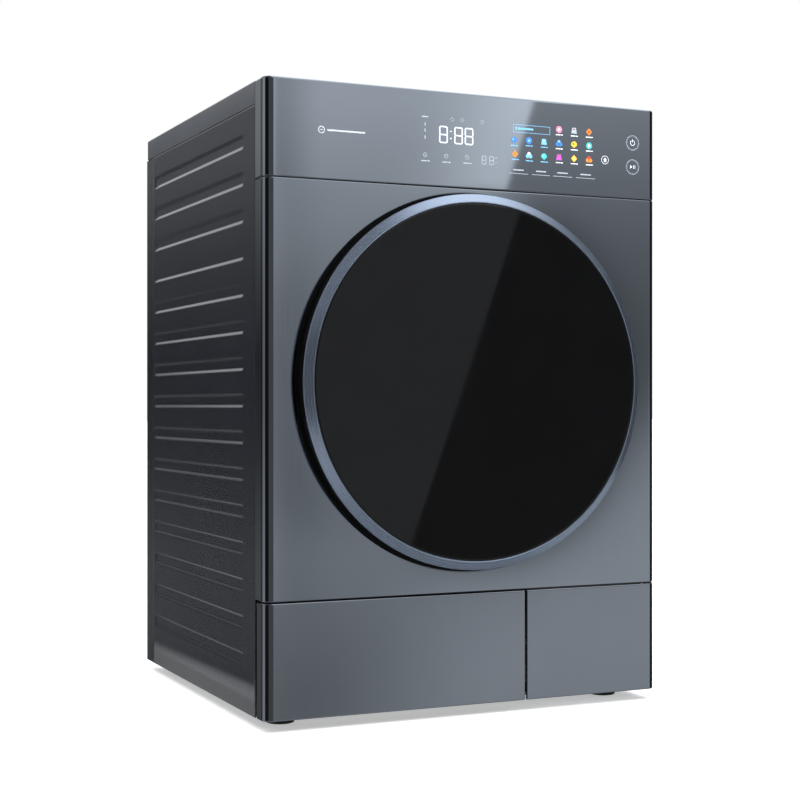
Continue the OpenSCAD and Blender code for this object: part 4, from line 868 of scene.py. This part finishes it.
# %% Ink helpers
INK_LIFT = 0.12 * MM
PANEL_LEFT, PANEL_FOOT = -HALF_W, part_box("service_flap")[0].z
inks = {}

def ink(colour):
    return inks.setdefault(colour, bmesh.new())

def spot(a, z):
    """A place on the fascia from its left edge and its foot, in millimetres."""
    return (PANEL_LEFT + a * MM, FRONT_Y - INK_LIFT, PANEL_FOOT + z * MM)

def patch(colour, points):
    shape = ink(colour)
    shape.faces.new([shape.verts.new(spot(a, z)) for a, z in points])

def box_mark(colour, a, z, w, h):
    left, right, low, high = a - w / 2, a + w / 2, z - h / 2, z + h / 2
    patch(colour, [(left, low), (right, low), (right, high), (left, high)])

def band(colour, outer, inner):
    """A closed stripe between two outlines with the same number of points."""
    n = len(outer)
    for k in range(n):
        patch(colour, [outer[k], outer[(k + 1) % n], inner[(k + 1) % n], inner[k]])

def round_points(a, z, r, steps=40, start=0.0, turn=360.0):
    return [(a + r * math.cos(math.radians(start + turn * k / steps)),
             z + r * math.sin(math.radians(start + turn * k / steps))) for k in range(steps)]

def ring_mark(colour, a, z, r, width, steps=40):
    band(colour, round_points(a, z, r, steps), round_points(a, z, r - width, steps))

def disc_mark(colour, a, z, r, steps=28):
    patch(colour, round_points(a, z, r, steps))

def arc_mark(colour, a, z, r, width, start, turn, steps=20):
    full_turn = turn * steps / (steps - 1)
    outer, inner = (round_points(a, z, rad, steps, start, full_turn) for rad in (r, r - width))
    for k in range(steps - 1):
        patch(colour, [outer[k], outer[k + 1], inner[k + 1], inner[k]])

def frame_mark(colour, a, z, w, h, width):
    corners = lambda g: [(a - w / 2 + g, z - h / 2 + g), (a + w / 2 - g, z - h / 2 + g),
                         (a + w / 2 - g, z + h / 2 - g), (a - w / 2 + g, z + h / 2 - g)]
    band(colour, corners(0), corners(width))

def digit(colour, a, z, w, h, bar_w):
    """A seven-segment digit with all its pointed bars lit."""
    half, up, side = w / 2 - bar_w / 2, h / 2 - bar_w / 2, bar_w / 2
    level_bars = [(0, y, half) for y in (-up, 0, up)]
    upright_bars = [(x, y, up / 2) for x in (-half, half) for y in (-up / 2, up / 2)]
    for bars, level in ((level_bars, True), (upright_bars, False)):
        for x, y, reach in bars:
            tip = reach - bar_w * 0.1
            points = [(-tip, 0), (side - tip, -side), (tip - side, -side), (tip, 0), (tip - side, side),
                      (side - tip, side)]
            patch(colour, [(a + x + (p if level else q), z + y + (q if level else p)) for p, q in points])

print("ink layer stands", INK_LIFT / MM, "mm proud")

# %% [markdown]
# The places of the signs are in millimetres from the panel's left edge and from the cabinet's
# foot. The clock digits come first, then the small signs round them, then the colour screen with
# its fifteen small pictures, and last the two touch rings.

# %% Display and small signs
WHITE, GREY, SKY = "ink_white", "ink_grey", "ink_sky"
for a in (255.8, 278.5, 294.5):
    digit(WHITE, a, 774.1, 13.0, 23.2, 1.7)
for z in (769.4, 779.2):
    box_mark(WHITE, 267.1, z, 1.7, 1.7)
for a in (317.5, 329.1):
    digit(GREY, a, 743.5, 7.0, 11.8, 1.0)
arc_mark(GREY, 336.2, 747.6, 1.3, 0.5, 0, 359)
box_mark(GREY, 336.6, 741.0, 2.6, 0.6)
box_mark(GREY, 228.2, 796.4, 9.5, 1.6)
for z, w in ((786.3, 1.4), (778.2, 1.4), (768.8, 1.4)):
    box_mark(GREY, 228.2, z, w, 4.2)
for a, z in ((268.7, 795.4), (283.8, 795.9), (314.4, 795.5)):
    ring_mark(GREY, a, z, 2.3, 0.5, 24)
    for turn in range(4):
        x, y = math.cos(math.radians(90 * turn)), math.sin(math.radians(90 * turn))
        box_mark(GREY, a + 3.2 * x, z + 3.2 * y, 0.7, 0.7)
for a, z in ((228.2, 744.6), (259.6, 744.6), (291.4, 745.2)):
    ring_mark(GREY, a, z + 0.4, 3.0, 0.6, 24)
    box_mark(GREY, a, z + 0.4, 0.7, 2.6)
    box_mark(GREY, a - 1.6, z - 7.6, 8.2, 1.5)
    box_mark(GREY, a + 5.2, z - 7.6, 3.6, 1.5)
print("display drawn")

# %% Colour screen
frame_mark(SKY, 391.9, 790.8, 58.6, 11.0, 0.6)
box_mark(SKY, 381.5, 790.8, 26.0, 2.6)
disc_mark(SKY, 368.0, 790.8, 2.2)
PICTURES = [
    (364.1, 774.3, "blue", "white"), (387.8, 775.3, "blue", "sky"), (411.6, 774.9, "sky", "white"),
    (365.7, 755.1, "orange", "gold"), (387.8, 754.5, "sky", "white"), (411.6, 754.5, "teal", "white"),
    (435.7, 794.0, "pink", "white"), (460.0, 794.0, "grey", "red"), (484.5, 794.0, "orange", "red"),
    (435.7, 774.5, "blue", "sky"), (460.0, 774.5, "gold", "orange"), (484.5, 774.5, "teal", "white"),
    (435.7, 755.0, "magenta", "pink"), (460.0, 755.0, "gold", "white"), (484.5, 755.0, "orange", "red")]
for n, (a, z, *colours) in enumerate(PICTURES):
    body, detail = ("ink_" + colour for colour in colours)
    kind = n % 5
    if kind == 0:
        lower_edge = [(a - 4.4, z - 1.2), (a, z - 4.6), (a + 4.4, z - 1.2)]
        patch(body, round_points(a, z, 4.6, 28, 0, 180) + lower_edge)
        disc_mark(detail, a - 1.2, z + 1.0, 1.6, 18)
    elif kind == 1:
        ring_mark(body, a, z, 4.8, 2.0, 28)
        disc_mark(detail, a, z, 2.2, 20)
    elif kind == 2:
        patch(body, [(a - 4.6, z - 3.8), (a + 4.6, z - 3.8), (a + 3.0, z + 4.2), (a - 3.0, z + 4.2)])
        box_mark(detail, a, z + 2.0, 3.4, 1.4)
    elif kind == 3:
        patch(body, [(a, z - 5.0), (a + 4.8, z), (a, z + 5.0), (a - 4.8, z)])
        box_mark(detail, a, z, 2.8, 2.8)
    else:
        for step in (-1, 1):
            disc_mark(body, a + 2.2 * step, z - 1.0, 2.9, 20)
        disc_mark(detail, a, z + 2.4, 2.4, 20)
    label = WHITE if a > 425 else SKY
    box_mark(label, a - 1.4, z - 7.4, 7.6, 1.3)
    box_mark(label, a + 4.6, z - 7.4, 3.0, 1.3)
for from_a, to_a in ((356.3, 386.2), (392.5, 421.2), (426.0, 456.7), (463.2, 494.4)):
    box_mark(GREY, (from_a + to_a) / 2, 728.4, to_a - from_a, 0.7)
    box_mark(GREY, (from_a + to_a) / 2, 733.4, (to_a - from_a) * 0.55, 1.7)
print(len(PICTURES), "pictures drawn")

# %% Touch rings and a plain emblem
ring_mark(WHITE, 510.9, 756.3, 6.0, 0.6)
patch(WHITE, [(508.0, 756.4), (513.8, 756.4), (510.9, 759.4)])
box_mark(WHITE, 510.9, 754.9, 3.8, 3.0)
for z in (783.6, 749.2):
    ring_mark(GREY, 556.9, z, 10.8, 0.55, 56)
    ring_mark(GREY, 556.9, z, 9.4, 0.25, 56)
arc_mark(WHITE, 556.9, 783.6, 4.0, 0.7, 120, 300)
box_mark(WHITE, 556.9, 786.6, 0.8, 4.2)
patch(WHITE, [(552.9, 746.6), (552.9, 751.8), (556.3, 749.2)])
for a in (558.4, 560.8):
    box_mark(WHITE, a, 749.2, 0.8, 5.0)
ring_mark("ink_print", 78.6, 768.0, 4.8, 1.2, 32)
box_mark("ink_print", 78.6, 768.0, 3.6, 1.1)
patch("ink_print", [point for a, start in ((139.6, -90), (87.8, 90))
                    for point in round_points(a, 768.0, 1.1, 12, start, 196)])
print("touch rings drawn")

# %% [markdown]
# Lit signs glow a little. The light is broken up by a fine dot grid, as in a real display behind
# lacquer; the maker's emblem is plain silver print and doesn't glow.

# %% Ink finishes
GLOW = {"ink_white": ((0.80, 0.86, 0.92), 0.85), "ink_grey": ((0.46, 0.51, 0.57), 0.45),
        "ink_sky": ((0.20, 0.50, 0.78), 0.75), "ink_blue": ((0.05, 0.22, 0.70), 0.75),
        "ink_orange": ((0.85, 0.25, 0.05), 0.75), "ink_gold": ((0.90, 0.55, 0.06), 0.8),
        "ink_teal": ((0.08, 0.52, 0.50), 0.7), "ink_pink": ((0.80, 0.25, 0.42), 0.7),
        "ink_red": ((0.70, 0.06, 0.06), 0.7), "ink_magenta": ((0.55, 0.10, 0.50), 0.7),
        "ink_print": ((0.78, 0.80, 0.83), 0.0)}
for name, shape in inks.items():
    (red, green, blue), glow = GLOW[name]
    colour = (red, green, blue)
    material, tree, shader = finish(name, tuple(0.85 * c for c in colour), colour, (0.25, 0.4), scale=1500,
                                    patch=300, strength=0.05, depth=0.00002)
    dots = add(tree, "ShaderNodeTexVoronoi", {"Vector": place(tree), "Scale": 2600.0, "Randomness": 0.0})
    tree.links.new(shade(tree, dots.outputs["Distance"], colour, tuple(0.6 * c for c in colour)),
                   shader.inputs["Emission Color"])
    shader.inputs["Emission Strength"].default_value = glow
    bmesh.ops.recalc_face_normals(shape, faces=shape.faces)
    for face in shape.faces:
        if face.normal.y > 0:
            face.normal_flip()
    data = bpy.data.meshes.new(name)
    shape.to_mesh(data)
    shape.free()
    sign = link(bpy.data.objects.new(name, data))
    data.materials.append(material)
    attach(sign, body_of("control_fascia"))
print(len(inks), "inks")

# %% [markdown]
# ### Levelling feet
# Each foot is a threaded stud with a hexagon for the spanner and a ribbed rubber pad. The thread
# is a spiral groove made from a profile that rises as it turns.

# %% Feet
PAD_H, NECK_H, STUD_R, FOOT_R = 10 * MM, 5 * MM, 5 * MM, 19 * MM

def foot(node):
    low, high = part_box(node)
    centre = (low + high) / 2
    shape = bmesh.new()
    def turned_ring(radius, z, steps=48):
        turns = [2 * math.pi * k / steps for k in range(steps)]
        return [shape.verts.new((centre.x + radius * math.cos(t), centre.y + radius * math.sin(t), z))
                for t in turns]
    heights = [(FOOT_R - 1.6 * MM, 0), (FOOT_R - 0.4 * MM, 0.5 * MM), (FOOT_R, 1.6 * MM)]
    for k in range(3):
        heights += [(FOOT_R, (2.6 + 2 * k) * MM), (FOOT_R - 0.7 * MM, (3.0 + 2 * k) * MM),
                    (FOOT_R - 0.7 * MM, (3.5 + 2 * k) * MM), (FOOT_R, (3.9 + 2 * k) * MM)]
    heights += [(FOOT_R - 0.4 * MM, PAD_H - 0.5 * MM), (FOOT_R - 1.6 * MM, PAD_H), (STUD_R + 5 * MM, PAD_H)]
    rings = [turned_ring(r, low.z + z) for r, z in heights]
    for one, two in zip(rings, rings[1:]):
        join_rings(shape, one, two)
    shape.faces.new(rings[0])
    shape.faces.new(rings[-1])
    hexagon = []
    for z in (PAD_H, PAD_H + NECK_H - 0.6 * MM):
        hexagon.append([shape.verts.new((centre.x + 8 * MM * math.cos(math.radians(60 * k)),
                                         centre.y + 8 * MM * math.sin(math.radians(60 * k)), low.z + z))
                        for k in range(6)])
    join_rings(shape, *hexagon)
    shape.faces.new(hexagon[1])
    pitch, steps = 1.5 * MM, 20
    turns = int((high.z - low.z - PAD_H - NECK_H) / pitch)
    spiral = []
    for k in range(turns * steps + 1):
        a, rise = 2 * math.pi * k / steps, pitch * k / steps
        spiral.append([shape.verts.new((centre.x + r * math.cos(a), centre.y + r * math.sin(a),
                                        min(low.z + PAD_H + NECK_H - 0.6 * MM + rise + dz, high.z)))
                       for r, dz in ((STUD_R - 0.9 * MM, 0), (STUD_R - 0.05 * MM, pitch * 0.45),
                                     (STUD_R - 0.05 * MM, pitch * 0.55), (STUD_R - 0.9 * MM, pitch))])
    for one, two in zip(spiral, spiral[1:]):
        for j in range(3):
            shape.faces.new((one[j], two[j], two[j + 1], one[j + 1]))
    core = [turned_ring(STUD_R - 0.95 * MM, z, 24) for z in (low.z + PAD_H, high.z - 0.3 * MM)]
    join_rings(shape, *core)
    shape.faces.new(core[1])
    made = piece_from(node + "_pad", shape)
    return finished(made, node, "rubber")

for node in ("foot_front_left", "foot_front_right", "foot_rear_left", "foot_rear_right"):
    foot(node)

# %% [markdown]
# ### Parts that keep their measured shape
# Everything inside keeps its measured mesh and gets a finish. Where a part's outer edges show
# when a door or flap is open, its split corners are welded and a narrow bevel is laid over the
# sharp edges by modifiers, which leave the measured mesh itself alone.

# %% Finishes and broken edges of the other parts
BEVELLED = {"rear_duct_cover": 1.6, "base_tray": 0.6, "exchanger_cover": 0.8, "left_cover_lever": 1.0,
            "right_cover_lever": 1.0, "door_lock": 0.5, "lint_filter": 0.5, "water_tank": 1.5,
            "drum_paddles": 3.0, "latch_hook": 0.4, "power_inlet": 0.8, "drain_outlet": 0.5}
replaced = {n for o in bpy.data.objects for n in o.get("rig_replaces", [])}
for node, piece in frame["nodes"].items():
    slot = piece.data.materials[0].name.split(".")[0]
    piece.data.materials[0] = MADE[slot]
    if node in BEVELLED and node not in replaced:
        weld = piece.modifiers.new("weld", "WELD")
        weld.merge_threshold = 0.00001
        bevel = piece.modifiers.new("edge", "BEVEL")
        bevel.width, bevel.segments = BEVELLED[node] * MM, 3
        bevel.limit_method, bevel.angle_limit = "ANGLE", math.radians(40)
        bevel.harden_normals = True
print("kept", len(frame["nodes"]) - len(replaced), "measured parts,", len(replaced), "replaced")
